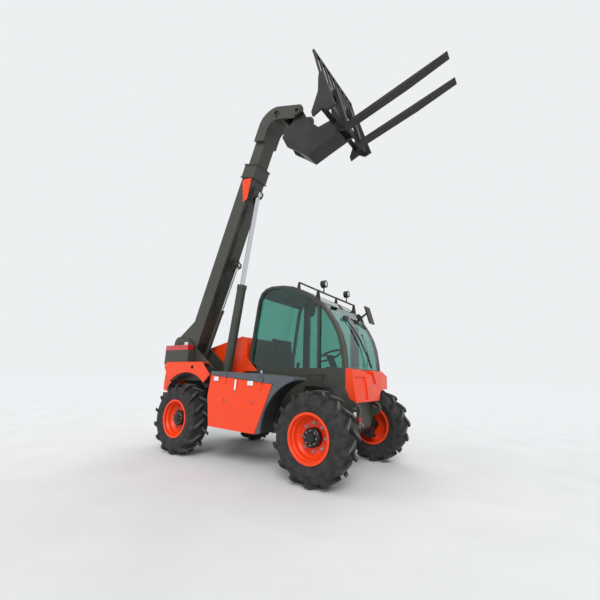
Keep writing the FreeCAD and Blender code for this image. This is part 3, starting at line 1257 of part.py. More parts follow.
def make_cab_fittings():
    """Work lamps on a bar over the screen and a mirror on each side."""
    front_foot, back_foot = [
        [(x, arch_height(x) + v.seat_gap) for x in edges] for edges in ((755, 825), (455, 505))
    ]
    front_foot += [(803, 2152), (777, 2152)]
    back_foot += [(492, 2292), (468, 2292)]
    rail = [(786, 2130), (796, 2150), (484, 2308), (468, 2290)]
    pieces = []
    for tag, low, high in (("right", "cab_right + 5", "cab_right + 20"), ("left", "cab_left - 20", "cab_left - 5")):
        for name, outline in (("lamp_foot", front_foot), ("lamp_back_foot", back_foot), ("lamp_rail", rail)):
            pieces.append(prism("%s_%s" % (name, tag), "xz", [along(outline)], low, high))
    pieces += [
        rod("lamp_bar", "y", ("mid_x + 790", "cab_right + 5", "2140"), "cab_left - cab_right - 10", "12"),
    ]
    for i, y in enumerate((-120, 520)):
        pieces.append(rod("lamp_post_%d" % i, "z", ("mid_x + 790", str(y), "2140"), "90", "9"))
        pieces.append(rod("lamp_head_%d" % i, "x", ("mid_x + 760", str(y), "2262"), "62", "50"))
    keep("work_lamps", fuse("work_lamps_whole", pieces))
    inner = "cab_right + cab_wall"
    head = ellipsoid("mirror_right_head", ("mid_x + 614", inner + " + 80", "1925"), ("56", "36", "98"))
    arm = box("mirror_right_arm", ("mid_x + 606", "mid_x + 622"), (inner, inner + " + 88"), ("2106", "2122"))
    arm_low = box("mirror_right_drop", ("mid_x + 606", "mid_x + 622"), (inner + " + 72", inner + " + 88"),
                  ("2000", "2122"))
    mirrors = [head, arm, arm_low]
    blade = along([(932, 2120), (1011, 1856), (1031, 1862), (952, 2126)])
    glass = prism("mirror_left_head", "xz", [blade], "810", "980")
    bracket = along([(866, 1945), (1000, 2020), (1008, 2004), (900, 1925)])
    arm = prism("mirror_left_arm", "xz", [bracket], "cab_left + 5", "cab_left + 21")
    stem = rod("mirror_left_stem", "y", ("mid_x + 975", "cab_left + 5", "2000"), "60", "11")
    base_line = [(x, arch_height(x)) for x in (830, 943)]
    base = prism("mirror_left_foot", "xz", [along(base_line + [(905, 1962), (862, 2005)])], "cab_left",
                 "cab_left + 21")
    keep("mirrors", fuse("mirrors_whole", mirrors + [glass, arm, stem, base]))


def make_left_side():
    """Tank under the cab between the wheels, with two steps hung on it."""
    tank = box("tank_block", ("mid_x - 300", "mid_x + 420"), ("rail_y + rail_wall", "740"), ("360", "540"))
    keep("fuel_tank", tank)
    steps = []
    for i, z in enumerate((330, 520)):
        steps.append(box("step_tread_%d" % i, ("mid_x + 20", "mid_x + 380"), ("760", "870"),
                         (str(z), "%d + 20" % z)))
    for i, x in enumerate((20, 365)):
        steps.append(box("step_side_%d" % i, ("mid_x + %d" % x, "mid_x + %d" % (x + 15)), ("740", "870"),
                         ("330", "540")))
    keep("cab_step", fuse("cab_step_whole", steps))


make_running_gear()
make_frame()
make_tower()
make_lift_foot()
make_rear()
make_bonnet()
make_cab()
make_tub()
make_door()
make_interior()
make_nose()
make_outer_boom()
make_hoses()
make_inner_boom()
make_level_pin()
make_carriage()
make_forks()
make_cylinders()
make_cab_fittings()
make_front_plate()
make_left_side()
doc.recompute()

for thing in doc.Objects:
    if "Invalid" in thing.State or "Error" in thing.State:
        raise RuntimeError("failed: %s %s" % (thing.Name, thing.State))

os.makedirs("parts", exist_ok=True)
for name, thing in PARTS:
    shape = thing.Shape
    if shape.isNull() or not shape.isValid():
        raise RuntimeError("bad shape: " + name)
    shape.exportStep("parts/%s.step" % name)
    box_now = shape.BoundBox
    print("%-20s solids %d volume %9.0f cm3 x %6.0f %6.0f y %6.0f %6.0f z %6.0f %6.0f" % (
        name, len(shape.Solids), shape.Volume / 1000, box_now.XMin, box_now.XMax, box_now.YMin, box_now.YMax,
        box_now.ZMin, box_now.ZMax))
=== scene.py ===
# %% [markdown]
# A compact telehandler, orange and dark olive grey, parked with its boom up. The CAD model gives
# every rigid piece and where it is. This notebook adds the camera and the light, the finishes, and
# the pieces that a CAD file leaves out: lugged tyres, wheel nuts, soft seats, the windshield's
# black border and wiper, lamp fronts, plain labels and small fittings. Lengths are in metres.

# %% Load the frame
import bpy
import json
import math
from mathutils import Matrix, Vector


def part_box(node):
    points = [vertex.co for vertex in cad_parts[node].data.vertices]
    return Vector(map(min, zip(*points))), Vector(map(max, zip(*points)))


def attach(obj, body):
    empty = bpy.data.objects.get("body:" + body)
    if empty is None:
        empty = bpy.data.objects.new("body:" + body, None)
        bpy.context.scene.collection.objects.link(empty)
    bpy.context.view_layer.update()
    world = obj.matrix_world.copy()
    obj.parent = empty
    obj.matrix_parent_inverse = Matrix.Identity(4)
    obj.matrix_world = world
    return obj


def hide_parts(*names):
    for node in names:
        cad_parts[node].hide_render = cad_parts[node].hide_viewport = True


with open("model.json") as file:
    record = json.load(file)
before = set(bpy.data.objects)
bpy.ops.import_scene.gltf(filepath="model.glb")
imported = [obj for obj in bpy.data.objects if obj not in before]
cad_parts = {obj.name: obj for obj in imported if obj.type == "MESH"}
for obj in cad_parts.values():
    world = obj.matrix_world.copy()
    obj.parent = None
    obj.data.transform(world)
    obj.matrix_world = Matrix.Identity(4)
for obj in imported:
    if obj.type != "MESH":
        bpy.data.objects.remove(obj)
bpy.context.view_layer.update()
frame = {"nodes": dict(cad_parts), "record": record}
nodes = frame["nodes"]

# %% [markdown]
# The photograph was taken with a wide lens, a metre above the ground and close to the front right
# corner, and tilted up to take in the forks. A camera is a place, three axes and a focal length,
# so those are written straight into its matrix: the picture's right, its up, and the way back.

# %% Camera
CAMERA_PLACE = (2.6913, -3.7895, 1.0304)
CAMERA_TURN = 125.717
CAMERA_RISE = 13.1875
CAMERA_ROLL = 1.608
CAMERA_LENS = 20.055
SENSOR_WIDTH = 36
FARTHEST_SEEN = 200


def aim_camera(place, turn, rise, roll, lens):
    """A camera from its compass turn, its rise above the level and its roll, in degrees."""
    turn, rise, roll = (math.radians(angle) for angle in (turn, rise, roll))
    ahead = Vector((math.cos(turn) * math.cos(rise), math.sin(turn) * math.cos(rise), math.sin(rise)))
    right = Vector((math.sin(turn), -math.cos(turn), 0))
    up = right.cross(ahead)
    side = right * math.cos(roll) + up * math.sin(roll)
    top = up * math.cos(roll) - right * math.sin(roll)
    data = bpy.data.cameras.new("photo_camera")
    data.lens = lens
    data.sensor_width = SENSOR_WIDTH
    data.clip_end = FARTHEST_SEEN
    camera = bpy.data.objects.new("photo_camera", data)
    bpy.context.scene.collection.objects.link(camera)
    turned = Matrix((side, top, -ahead)).transposed().to_4x4()
    camera.matrix_world = Matrix.Translation(place) @ turned
    bpy.context.scene.camera = camera
    return camera


camera = aim_camera(CAMERA_PLACE, CAMERA_TURN, CAMERA_RISE, CAMERA_ROLL, CAMERA_LENS)
print("camera", camera.name, "lens", camera.data.lens, "mm")

# %% [markdown]
# A finish is a small network of nodes. Three helpers are enough for all of them: one turns the hex
# colours that painters write into Blender's linear ones, one adds a node with its settings and its
# links in one line, and one starts a material with its shader and the piece's own coordinates. A
# texture with a Scale of MM / 14 repeats about every 14 mm.

# %% Helpers for finishes
MM = 1000


def linear(code):
    """An sRGB hex colour as linear red, green, blue and alpha."""
    parts = [int(code[i:i + 2], 16) / 255 for i in (0, 2, 4)]
    return tuple(p / 12.92 if p <= 0.04045 else ((p + 0.055) / 1.055) ** 2.4 for p in parts) + (1.0,)


def add(tree, kind, inputs=None, **settings):
    """A node of one kind: settings are its properties, inputs its sockets' values or links."""
    node = tree.nodes.new(kind)
    for key, value in settings.items():
        setattr(node, key, value)
    for key, value in (inputs or {}).items():
        if isinstance(value, bpy.types.NodeSocket):
            tree.links.new(value, node.inputs[key])
        else:
            node.inputs[key].default_value = value
    return node


def new_finish(name, shader):
    """A material with one Principled shader: the material, its tree, the shader, the coordinates."""
    material = bpy.data.materials.new(name)
    material.use_nodes = True
    tree = material.node_tree
    tree.nodes.clear()
    body = add(tree, "ShaderNodeBsdfPrincipled", shader)
    add(tree, "ShaderNodeOutputMaterial", {"Surface": body.outputs[0]})
    place = add(tree, "ShaderNodeTexCoord").outputs["Object"]
    return material, tree, body, place


# %% [markdown]
# Two-pack machine enamel is sprayed on steel: it is even in colour, has a faint orange peel a few
# millimetres across, and on a machine that works outdoors a thin film of dust in soft clouds. One
# function makes it in any colour, because only the hex, the gloss and the dust differ. Lacquer,
# vinyl film and the ceramic fired on glass are the same kind of coat, only flatter.

# %% Sprayed and printed coats


def enamel(name, code, gloss, dust, peel=0.02, dirt="8C8474"):
    """A coat with a 3 mm orange peel, and dust in 260 mm clouds that 14 mm grains break up."""
    material, tree, body, place = new_finish(name, {"IOR": 1.5})
    cloud = add(tree, "ShaderNodeTexNoise", {"Vector": place, "Scale": MM / 260, "Detail": 6})
    grains = add(tree, "ShaderNodeTexNoise", {"Vector": place, "Scale": MM / 14, "Detail": 4})
    both = add(tree, "ShaderNodeMath", {0: cloud.outputs[0], 1: grains.outputs[0]}, operation="MULTIPLY")
    amount = add(tree, "ShaderNodeMapRange", {"Value": both.outputs[0], "From Min": 0.2, "From Max": 0.42,
                                              "To Max": dust})
    colour = add(tree, "ShaderNodeMix", {"Factor": amount.outputs[0], "A": linear(code),
                                         "B": linear(dirt)}, data_type="RGBA")
    tree.links.new(colour.outputs["Result"], body.inputs["Base Color"])
    rough = add(tree, "ShaderNodeMapRange", {"Value": cloud.outputs[0], "From Min": 0.3, "From Max": 0.7,
                                             "To Min": gloss - 0.05, "To Max": gloss + 0.1})
    tree.links.new(rough.outputs[0], body.inputs["Roughness"])
    skin = add(tree, "ShaderNodeTexNoise", {"Vector": place, "Scale": MM / 3, "Detail": 2})
    bump = add(tree, "ShaderNodeBump", {"Height": skin.outputs[0], "Strength": peel, "Distance": 0.002})
    tree.links.new(bump.outputs[0], body.inputs["Normal"])
    return material


FINISH = {
    "orange_paint": enamel("orange_two_pack_enamel", "F23F04", 0.36, 0.05),
    "orange_panel": enamel("orange_moulded_panel_lacquer", "F44004", 0.34, 0.04),
    "olive_paint": enamel("olive_grey_two_pack_enamel", "373931", 0.42, 0.10, dirt="6D695D"),
    "black_paint": enamel("black_chassis_enamel", "101113", 0.45, 0.12),
    "fork_steel": enamel("worn_black_fork_enamel", "0E0E0F", 0.5, 0.10, 0.05),
    "cast_metal": enamel("painted_grey_iron", "232423", 0.55, 0.18, 0.12),
    "ceramic_black": enamel("fired_black_glass_border", "08090A", 0.22, 0.02, 0.01),
    "orange_film": enamel("orange_vinyl_film", "F23F04", 0.36, 0.03, 0.01),
    "white_vinyl": enamel("white_vinyl_label", "E6E6E3", 0.4, 0.06, 0.01),
}
print("coats", ", ".join(FINISH))

# %% [markdown]
# Moulded plastic has a fine leather-like grain under a haze of dust. Tyre rubber is moulded black;
# its sides carry dry grey dust, and the faces of its bars are scuffed paler by the road.

# %% Plastic and rubber
DRAWN_COARSER = 3  # a moulded grain of about 1 mm is drawn three times as wide, so that it shows


def moulded(name, code, roughness=0.55, grain=1.2, strength=0.18):
    """ABS, polypropylene or hose rubber from a grained mould; grain is in millimetres."""
    material, tree, body, place = new_finish(name, {"Roughness": roughness, "IOR": 1.47})
    cells = add(tree, "ShaderNodeTexVoronoi", {"Vector": place, "Scale": MM / (grain * DRAWN_COARSER)})
    bump = add(tree, "ShaderNodeBump", {"Height": cells.outputs["Distance"], "Strength": strength,
                                        "Distance": 0.001})
    tree.links.new(bump.outputs[0], body.inputs["Normal"])
    haze = add(tree, "ShaderNodeTexNoise", {"Vector": place, "Scale": MM / 120, "Detail": 5})
    amount = add(tree, "ShaderNodeMapRange", {"Value": haze.outputs[0], "From Min": 0.35, "From Max": 0.75,
                                              "To Max": 0.18})
    tint = add(tree, "ShaderNodeMix", {"Factor": amount.outputs[0], "A": linear(code),
                                       "B": linear("8E897D")}, data_type="RGBA")
    tree.links.new(tint.outputs["Result"], body.inputs["Base Color"])
    return material


def tyre_rubber(name, clean, dusty):
    """Rubber with dust in 90 mm clouds and 6 mm grains, which also roughen it."""
    material, tree, body, place = new_finish(name, {"Roughness": 0.78, "IOR": 1.5})
    cloud = add(tree, "ShaderNodeTexNoise", {"Vector": place, "Scale": MM / 90, "Detail": 6})
    grains = add(tree, "ShaderNodeTexNoise", {"Vector": place, "Scale": MM / 6, "Detail": 5})
    both = add(tree, "ShaderNodeMath", {0: cloud.outputs[0], 1: grains.outputs[0]}, operation="MULTIPLY")
    amount = add(tree, "ShaderNodeMapRange", {"Value": both.outputs[0], "From Min": 0.15, "From Max": 0.4,
                                              "To Min": 0.05, "To Max": 0.6})
    colour = add(tree, "ShaderNodeMix", {"Factor": amount.outputs[0], "A": linear(clean),
                                         "B": linear(dusty)}, data_type="RGBA")
    tree.links.new(colour.outputs["Result"], body.inputs["Base Color"])
    bump = add(tree, "ShaderNodeBump", {"Height": grains.outputs[0], "Strength": 0.25, "Distance": 0.002})
    tree.links.new(bump.outputs[0], body.inputs["Normal"])
    return material


FINISH["grey_plastic"] = moulded("blue_grey_grained_polypropylene", "4C5159")
FINISH["black_plastic"] = moulded("black_grained_abs", "141416", 0.5)
FINISH["red_plastic"] = moulded("red_moulded_knob", "A31218", 0.4, 0.8, 0.08)
FINISH["hose_rubber"] = moulded("black_hose_rubber", "0F0F10", 0.6, 0.6, 0.3)
FINISH["tyre_rubber"] = tyre_rubber("dusty_tyre_rubber", "121315", "474742")
FINISH["worn_tread"] = tyre_rubber("scuffed_tread_rubber", "40403E", "7A7872")
print("with plastic and rubber", len(FINISH), "finishes")

# %% [markdown]
# Hard chrome on a cylinder rod is a mirror with hardly any scratches, bright zinc on a nut is
# dulled in patches by its spangle, and a lamp's reflector is aluminium laid on in a vacuum. All
# three are metals, so their colour is the colour of what they reflect.

# %% Bare and plated metal


def chrome():
    """Hard chrome, its roughness drawn out in fine lines round the rod."""
    material, tree, body, place = new_finish("hard_chrome_plate", {"Base Color": linear("C9CCCF"),
                                                                   "Metallic": 1.0})
    squeezed = add(tree, "ShaderNodeMapping", {"Vector": place, "Scale": (1, 1, 60)})
    lines = add(tree, "ShaderNodeTexNoise", {"Vector": squeezed.outputs[0], "Scale": MM / 4, "Detail": 2})
    rough = add(tree, "ShaderNodeMapRange", {"Value": lines.outputs[0], "From Min": 0.3, "From Max": 0.8,
                                             "To Min": 0.08, "To Max": 0.2})
    tree.links.new(rough.outputs[0], body.inputs["Roughness"])
    return material


def zinc_plate():
    """Bright zinc plating: a grey metal, lighter and duller in patches 5 mm across."""
    material, tree, body, place = new_finish("bright_zinc_plate", {"Metallic": 1.0})
    spangle = add(tree, "ShaderNodeTexNoise", {"Vector": place, "Scale": MM / 5, "Detail": 2})
    part = add(tree, "ShaderNodeMapRange", {"Value": spangle.outputs[0], "From Min": 0.35, "From Max": 0.7})
    shade = add(tree, "ShaderNodeMix", {"Factor": part.outputs[0], "A": linear("8F9498"),
                                        "B": linear("B9BDC0")}, data_type="RGBA")
    tree.links.new(shade.outputs["Result"], body.inputs["Base Color"])
    rough = add(tree, "ShaderNodeMapRange", {"Value": spangle.outputs[0], "From Min": 0.3, "From Max": 0.8,
                                             "To Min": 0.25, "To Max": 0.45})
    tree.links.new(rough.outputs[0], body.inputs["Roughness"])
    return material


def bright_reflector():
    """Vacuum-coated aluminium: a mirror with faint ripples."""
    material, tree, body, place = new_finish("aluminium_coated_reflector", {
        "Base Color": linear("D5D8DB"), "Metallic": 1.0, "Roughness": 0.15})
    ripples = add(tree, "ShaderNodeTexNoise", {"Vector": place, "Scale": MM / 12, "Detail": 2})
    bump = add(tree, "ShaderNodeBump", {"Height": ripples.outputs[0], "Strength": 0.3, "Distance": 0.002})
    tree.links.new(bump.outputs[0], body.inputs["Normal"])
    return material


FINISH["chrome_rod"] = chrome()
FINISH["zinc_plate"] = zinc_plate()
FINISH["bright_reflector"] = bright_reflector()
print("with metals", len(FINISH), "finishes")

# %% [markdown]
# Tinted safety glass is clear with a green body and a sharp reflection, which rolled float glass
# bends slightly over a hand's width. Lamp lenses are moulded with fine ribs that spread the light.

# %% Glass and lenses


def tinted_glass():
    """Float glass tinted green, hardly wavy over 200 mm."""
    material, tree, body, place = new_finish("green_tinted_safety_glass", {
        "Base Color": linear("86BFB4"), "Roughness": 0.0, "IOR": 1.52, "Transmission Weight": 1.0})
    waves = add(tree, "ShaderNodeTexNoise", {"Vector": place, "Scale": MM / 200, "Detail": 4})
    bump = add(tree, "ShaderNodeBump", {"Height": waves.outputs[0], "Strength": 0.02, "Distance": 0.002})
    tree.links.new(bump.outputs[0], body.inputs["Normal"])
    return material


def red_lens():
    """A moulded acrylic tail lamp lens with upright ribs."""
    material, tree, body, place = new_finish("red_acrylic_lens", {
        "Base Color": linear("C4141B"), "Roughness": 0.12, "IOR": 1.49, "Coat Weight": 0.6})
    ribs = add(tree, "ShaderNodeTexWave", {"Vector": place, "Scale": 60.0})
    bump = add(tree, "ShaderNodeBump", {"Height": ribs.outputs[0], "Strength": 0.3, "Distance": 0.002})
    tree.links.new(bump.outputs[0], body.inputs["Normal"])
    return material


def clear_lens():
    """Ribbed polycarbonate, drawn part clear so that it also works in the export."""
    material, tree, body, place = new_finish("clear_polycarbonate_lens", {
        "Base Color": linear("E8EEF2"), "Roughness": 0.06, "IOR": 1.58, "Alpha": 0.35})
    ribs = add(tree, "ShaderNodeTexWave", {"Vector": place, "Scale": 80.0}, bands_direction="Y")
    bump = add(tree, "ShaderNodeBump", {"Height": ribs.outputs[1], "Strength": 0.3, "Distance": 0.001})
    tree.links.new(bump.outputs[0], body.inputs["Normal"])
    return material


FINISH["window"] = tinted_glass()
FINISH["red_lens"] = red_lens()
FINISH["clear_lens"] = clear_lens()
print("with glass", len(FINISH), "finishes")

# %% [markdown]
# The seat's cover is a woven polyester cloth, dull, with a slight sheen off its fibres. Then each
# CAD node is painted with the finish that its record names.

# %% Seat cloth, and paint on the CAD nodes


def seat_cloth():
    """Woven cloth: two sets of threads about 1.5 mm apart, drawn at 3 mm so that they show."""
    material, tree, body, place = new_finish("black_woven_seat_cloth", {
        "Roughness": 0.9, "IOR": 1.45, "Sheen Weight": 0.3})
    across = add(tree, "ShaderNodeTexWave", {"Vector": place, "Scale": 330.0}, bands_direction="X")
    along = add(tree, "ShaderNodeTexWave", {"Vector": place, "Scale": 330.0}, bands_direction="Z")
    weave = add(tree, "ShaderNodeMath", {0: across.outputs[1], 1: along.outputs[1]}, operation="MULTIPLY")
    tint = add(tree, "ShaderNodeMix", {"Factor": weave.outputs[0], "A": linear("121314"),
                                       "B": linear("2E3032")}, data_type="RGBA")
    tree.links.new(tint.outputs["Result"], body.inputs["Base Color"])
    bump = add(tree, "ShaderNodeBump", {"Height": weave.outputs[0], "Strength": 0.4, "Distance": 0.001})
    tree.links.new(bump.outputs[0], body.inputs["Normal"])
    return material


FINISH["seat_cover"] = seat_cloth()
for entry in frame["record"]["subparts"]:
    mesh = nodes[entry["node"]].data
    mesh.materials.clear()
    mesh.materials.append(FINISH[entry["material_slot"]])
print("finishes", len(FINISH))

# %% [markdown]
# Everything that is added is modelled with Blender's operators. A few helpers save typing.
# They leave one piece selected alone, round its edges with a bevel, as a real edge is never sharp,
# join several into one, and lay a finished one's place into its mesh and give it a name, a finish
# and the body it rides on. Others make the forms that come back: bars, blocks, leaves and copies.


def only(piece):
    """Leaves one piece selected and active, in object mode."""
    bpy.ops.object.select_all(action="DESELECT")
    piece.select_set(True)
    bpy.context.view_layer.objects.active = piece


def soften(piece, width, segments=2, angle=35):
    """Rounds a piece's sharp edges and shades it smooth."""
    only(piece)
    bpy.ops.object.transform_apply(location=True, rotation=True, scale=True)
    if width:
        bevel = piece.modifiers.new("rounded_edges", "BEVEL")
        bevel.width = width
        bevel.segments = segments
        bevel.limit_method = "ANGLE"
        bpy.ops.object.modifier_apply(modifier=bevel.name)
    bpy.ops.object.shade_smooth_by_angle(angle=math.radians(angle))
    return piece


def joined(pieces):
    """Several pieces as one mesh."""
    only(pieces[0])
    for piece in pieces:
        piece.select_set(True)
    bpy.ops.object.join()
    return bpy.context.object


def settle(piece, name, finish, body):
    """Names a finished piece, paints it and lets it ride on its body."""
    only(piece)
    bpy.ops.object.transform_apply(location=True, rotation=True, scale=True)
    piece.name = name
    piece.data.name = name
    piece.data.materials.clear()
    piece.data.materials.append(FINISH[finish])
    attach(piece, body)
    return piece


def bar(start, end, radius, sides=20, edge=0.0):
    """A round bar from one point to another."""
    start = Vector(start)
    end = Vector(end)
    bpy.ops.object.select_all(action="DESELECT")
    turn = (end - start).to_track_quat("Z", "Y").to_euler()
    bpy.ops.mesh.primitive_cylinder_add(vertices=sides, radius=radius, depth=(end - start).length,
                                        location=(start + end) / 2, rotation=turn)
    return soften(bpy.context.object, edge)


def block(low, high, edge):
    """A block between its low corner and its high one, its edges rounded."""
    low = Vector(low)
    high = Vector(high)
    bpy.ops.object.select_all(action="DESELECT")
    bpy.ops.mesh.primitive_cube_add(size=1, location=(low + high) / 2, scale=high - low)
    return soften(bpy.context.object, edge)


def leaf(corners, thick, edge=0.0):
    """A flat leaf through any number of corners, given its thickness by Solidify on the far side."""
    bpy.ops.object.select_all(action="DESELECT")
    bpy.ops.mesh.primitive_circle_add(vertices=len(corners), fill_type="NGON")
    piece = bpy.context.object
    for vertex, corner in zip(piece.data.vertices, corners):
        vertex.co = corner
    only(piece)
    wall = piece.modifiers.new("thickness", "SOLIDIFY")
    wall.thickness = thick
    wall.offset = -1
    bpy.ops.object.modifier_apply(modifier=wall.name)
    face_outwards()
    return soften(piece, edge)


def torus(middle, radius, thick, turn, sides):
    """A round ring of thick wire; turn is its rotation, sides how many segments go round it."""
    bpy.ops.object.select_all(action="DESELECT")
    bpy.ops.mesh.primitive_torus_add(major_radius=radius, minor_radius=thick, major_segments=sides,
                                     minor_segments=10, location=middle, rotation=turn)
    return soften(bpy.context.object, 0, angle=60)


def ball(middle, radius, sides, rings, squash=1.0):
    """A ball, squashed along X where squash is less than one."""
    bpy.ops.object.select_all(action="DESELECT")
    bpy.ops.mesh.primitive_uv_sphere_add(segments=sides, ring_count=rings, radius=radius, location=middle)
    bpy.context.object.scale = (squash, 1, 1)
    return soften(bpy.context.object, 0, angle=80)


def face_outwards():
    """Turns the faces of the active piece outwards."""
    bpy.ops.object.mode_set(mode="EDIT")
    bpy.ops.mesh.select_all(action="SELECT")
    bpy.ops.mesh.normals_make_consistent(inside=False)
    bpy.ops.object.mode_set(mode="OBJECT")


def turned_copy(piece, turn, axis, middle=(0, 0, 0)):
    """A copy with its own mesh, turned in degrees about an axis through a point."""
    copy = bpy.data.objects.new(piece.name + "_copy", piece.data.copy())
    bpy.context.scene.collection.objects.link(copy)
    middle = Matrix.Translation(middle)
    copy.data.transform(middle @ Matrix.Rotation(math.radians(turn), 4, axis) @ middle.inverted())
    return copy


def copy_of_node(node, name):
    """A CAD node's mesh as a new piece, its doubled corners merged."""
    copy = bpy.data.objects.new(name, nodes[node].data.copy())
    bpy.context.scene.collection.objects.link(copy)
    only(copy)
    bpy.ops.object.mode_set(mode="EDIT")
    bpy.ops.mesh.select_all(action="SELECT")
    bpy.ops.mesh.remove_doubles(threshold=0.0001)
    bpy.ops.object.mode_set(mode="OBJECT")
    return copy


def middle_of(node):
    """The middle of a CAD node's box."""
    low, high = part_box(node)
    return (Vector(low) + Vector(high)) / 2


# %% [markdown]
# The tyres are what the eye goes to first. On the real machine they are cross-ply tyres with
# fourteen deep slanted bars a side, blunt at the shoulder and swept back to the middle line. The
# carcass is one half-round section spun round the axle. One bar is extruded from row to row, then
# bevelled, and copied round both halves, the second half a half step on.

# %% Tyre carcass
CARCASS_STEPS = 112
SECTION = [
    # radius, distance from the middle plane
    (0.2283, 0.1267), (0.2520, 0.1267), (0.2600, 0.1330), (0.2660, 0.1340), (0.3000, 0.1465),
    (0.3320, 0.1510), (0.3370, 0.1470), (0.3650, 0.1440), (0.3880, 0.1380), (0.4040, 0.1250),
    (0.4125, 0.1050), (0.4150, 0.0600), (0.4155, 0.0000),
]


def tyre_carcass():
    """The section and its mirror image as one closed loop, spun round the Y axis."""
    loop = SECTION + [(radius, -y) for radius, y in reversed(SECTION[:-1])]
    bpy.ops.object.select_all(action="DESELECT")
    bpy.ops.mesh.primitive_circle_add(vertices=len(loop))
    carcass = bpy.context.object
    for vertex, (radius, y) in zip(carcass.data.vertices, loop):
        vertex.co = (radius, y, 0)
    bpy.ops.object.mode_set(mode="EDIT")
    bpy.ops.mesh.select_all(action="SELECT")
    bpy.ops.mesh.spin(steps=CARCASS_STEPS, angle=2 * math.pi, center=(0, 0, 0), axis=(0, 1, 0))
    bpy.ops.mesh.select_all(action="SELECT")
    bpy.ops.mesh.remove_doubles(threshold=0.0002)
    bpy.ops.object.mode_set(mode="OBJECT")
    face_outwards()
    return soften(carcass, 0, angle=40)


# %% Tread bars
LUGS = 14
BAR_EDGE = 0.006
BAR_TAPER = 0.86  # how wide a bar's face is, as a share of its foot
BAR_ROWS = [
    # distance from the middle plane, turn in degrees, inner radius, outer radius, half width in degrees
    (0.1515, 0.0, 0.350, 0.434, 3.1),
    (0.1180, 3.0, 0.380, 0.4545, 2.9),
    (0.0600, 8.4, 0.395, 0.4568, 2.75),
    (-0.0070, 14.4, 0.405, 0.4568, 2.6),
]


def bar_corners(row):
    """The four corners of one row of a bar, round the Y axis: two at its foot, two at its face."""
    y, turn, foot, face, half = row
    places = ((foot, -half), (foot, half), (face, half * BAR_TAPER), (face, -half * BAR_TAPER))
    turns = [(radius, math.radians(turn + side)) for radius, side in places]
    return [Vector((radius * math.cos(angle), y, radius * math.sin(angle))) for radius, angle in turns]


def tread_bar():
    """One bar: a plane laid on the first row, extruded on to each of the others."""
    bpy.ops.object.select_all(action="DESELECT")
    bpy.ops.mesh.primitive_plane_add(size=1)
    piece = bpy.context.object
    corners = bar_corners(BAR_ROWS[0])
    for index, corner in zip((0, 1, 3, 2), corners):
        piece.data.vertices[index].co = corner
    for row in BAR_ROWS[1:]:
        bpy.ops.object.mode_set(mode="EDIT")
        bpy.ops.mesh.extrude_region_move()
        bpy.ops.object.mode_set(mode="OBJECT")
        after = bar_corners(row)
        for vertex in piece.data.vertices:
            if vertex.select:
                nearest = min(range(4), key=lambda i: (vertex.co - corners[i]).length)
                vertex.co = after[nearest]
        corners = after
    face_outwards()
    return soften(piece, BAR_EDGE, angle=50)


def whole_tyre():
    """Carcass and bars as one mesh round the Y axis."""
    first = tread_bar()
    other = turned_copy(first, 0, "Y")
    for vertex in other.data.vertices:
        vertex.co.y = -vertex.co.y
    other.data.flip_normals()
    pieces = [tyre_carcass()]
    for i in range(LUGS):
        pieces.append(turned_copy(first, -i * 360 / LUGS, "Y"))
        pieces.append(turned_copy(other, -(i + 0.5) * 360 / LUGS, "Y"))
    bpy.data.objects.remove(first)
    bpy.data.objects.remove(other)
    return joined(pieces)


# %% Four tyres
WHEELS = ["front_right", "front_left", "rear_right", "rear_left"]
WORN_BEYOND = 0.449  # the radius from which a bar's face is scuffed

pattern = whole_tyre()
for tag in WHEELS:
    middle = middle_of("tyre_" + tag)
    tyre = turned_copy(pattern, 0, "Y")
    tyre.data.transform(Matrix.Translation(middle))
    settle(tyre, "tyre_lugged_" + tag, "tyre_rubber", "wheel_" + tag)
    tyre.data.materials.append(FINISH["worn_tread"])
    for face in tyre.data.polygons:
        away = face.center - middle
        face.material_index = int(math.hypot(away.x, away.z) > WORN_BEYOND)
    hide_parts("tyre_" + tag)
bpy.data.objects.remove(pattern)
print("tyre faces", len(tyre.data.polygons))

# %% [markdown]
# Each rim is held by eight hex nuts on studs, and the hub drum is closed by a ring of small screws.
# One nut with its washer and stud is modelled once and copied round the wheel.

# %% Wheel nuts
NUTS = 8
NUT_CIRCLE = 0.1375
SCREW_CIRCLE = 0.068
RIM_FACE = 0.004  # how far outwards of the wheel's middle the rim's disc has its face
DRUM_FACE = 0.0803
NUT_PARTS = [
    # start and end outwards of the face, radius, sides, rounding: washer, nut and stud
    (-0.001, 0.003, 0.0185, 24, 0.0006),
    (0.003, 0.020, 0.0156, 6, 0.0016),
    (0.019, 0.029, 0.0088, 16, 0.0012),
]
SCREW_PARTS = [(-0.001, 0.007, 0.0085, 6, 0.0009)]


def ring_of(parts, count, face, outward, middle):
    """Bars that stand on a face, copied round the axle as one mesh."""
    pieces = []
    for start, end, radius, sides, edge in parts:
        pieces.append(bar(face + outward * start, face + outward * end, radius, sides, edge))
    whole = []
    for i in range(count):
        whole += [turned_copy(piece, i * 360 / count, "Y", middle) for piece in pieces]
    for piece in pieces:
        bpy.data.objects.remove(piece)
    return joined(whole)


for tag in WHEELS:
    centre = middle_of("tyre_" + tag)
    outward = Vector((0, math.copysign(1, centre.y), 0))
    disc = centre + outward * RIM_FACE + Vector((0, 0, NUT_CIRCLE))
    nuts = ring_of(NUT_PARTS, NUTS, disc, outward, centre)
    settle(nuts, "wheel_nuts_" + tag, "zinc_plate", "wheel_" + tag)
    drum = centre + outward * DRUM_FACE + Vector((0, 0, SCREW_CIRCLE))
    screws = ring_of(SCREW_PARTS, NUTS, drum, outward, centre)
    settle(screws, "hub_screws_" + tag, "zinc_plate", "wheel_" + tag)
print("nuts on", len(WHEELS), "wheels")

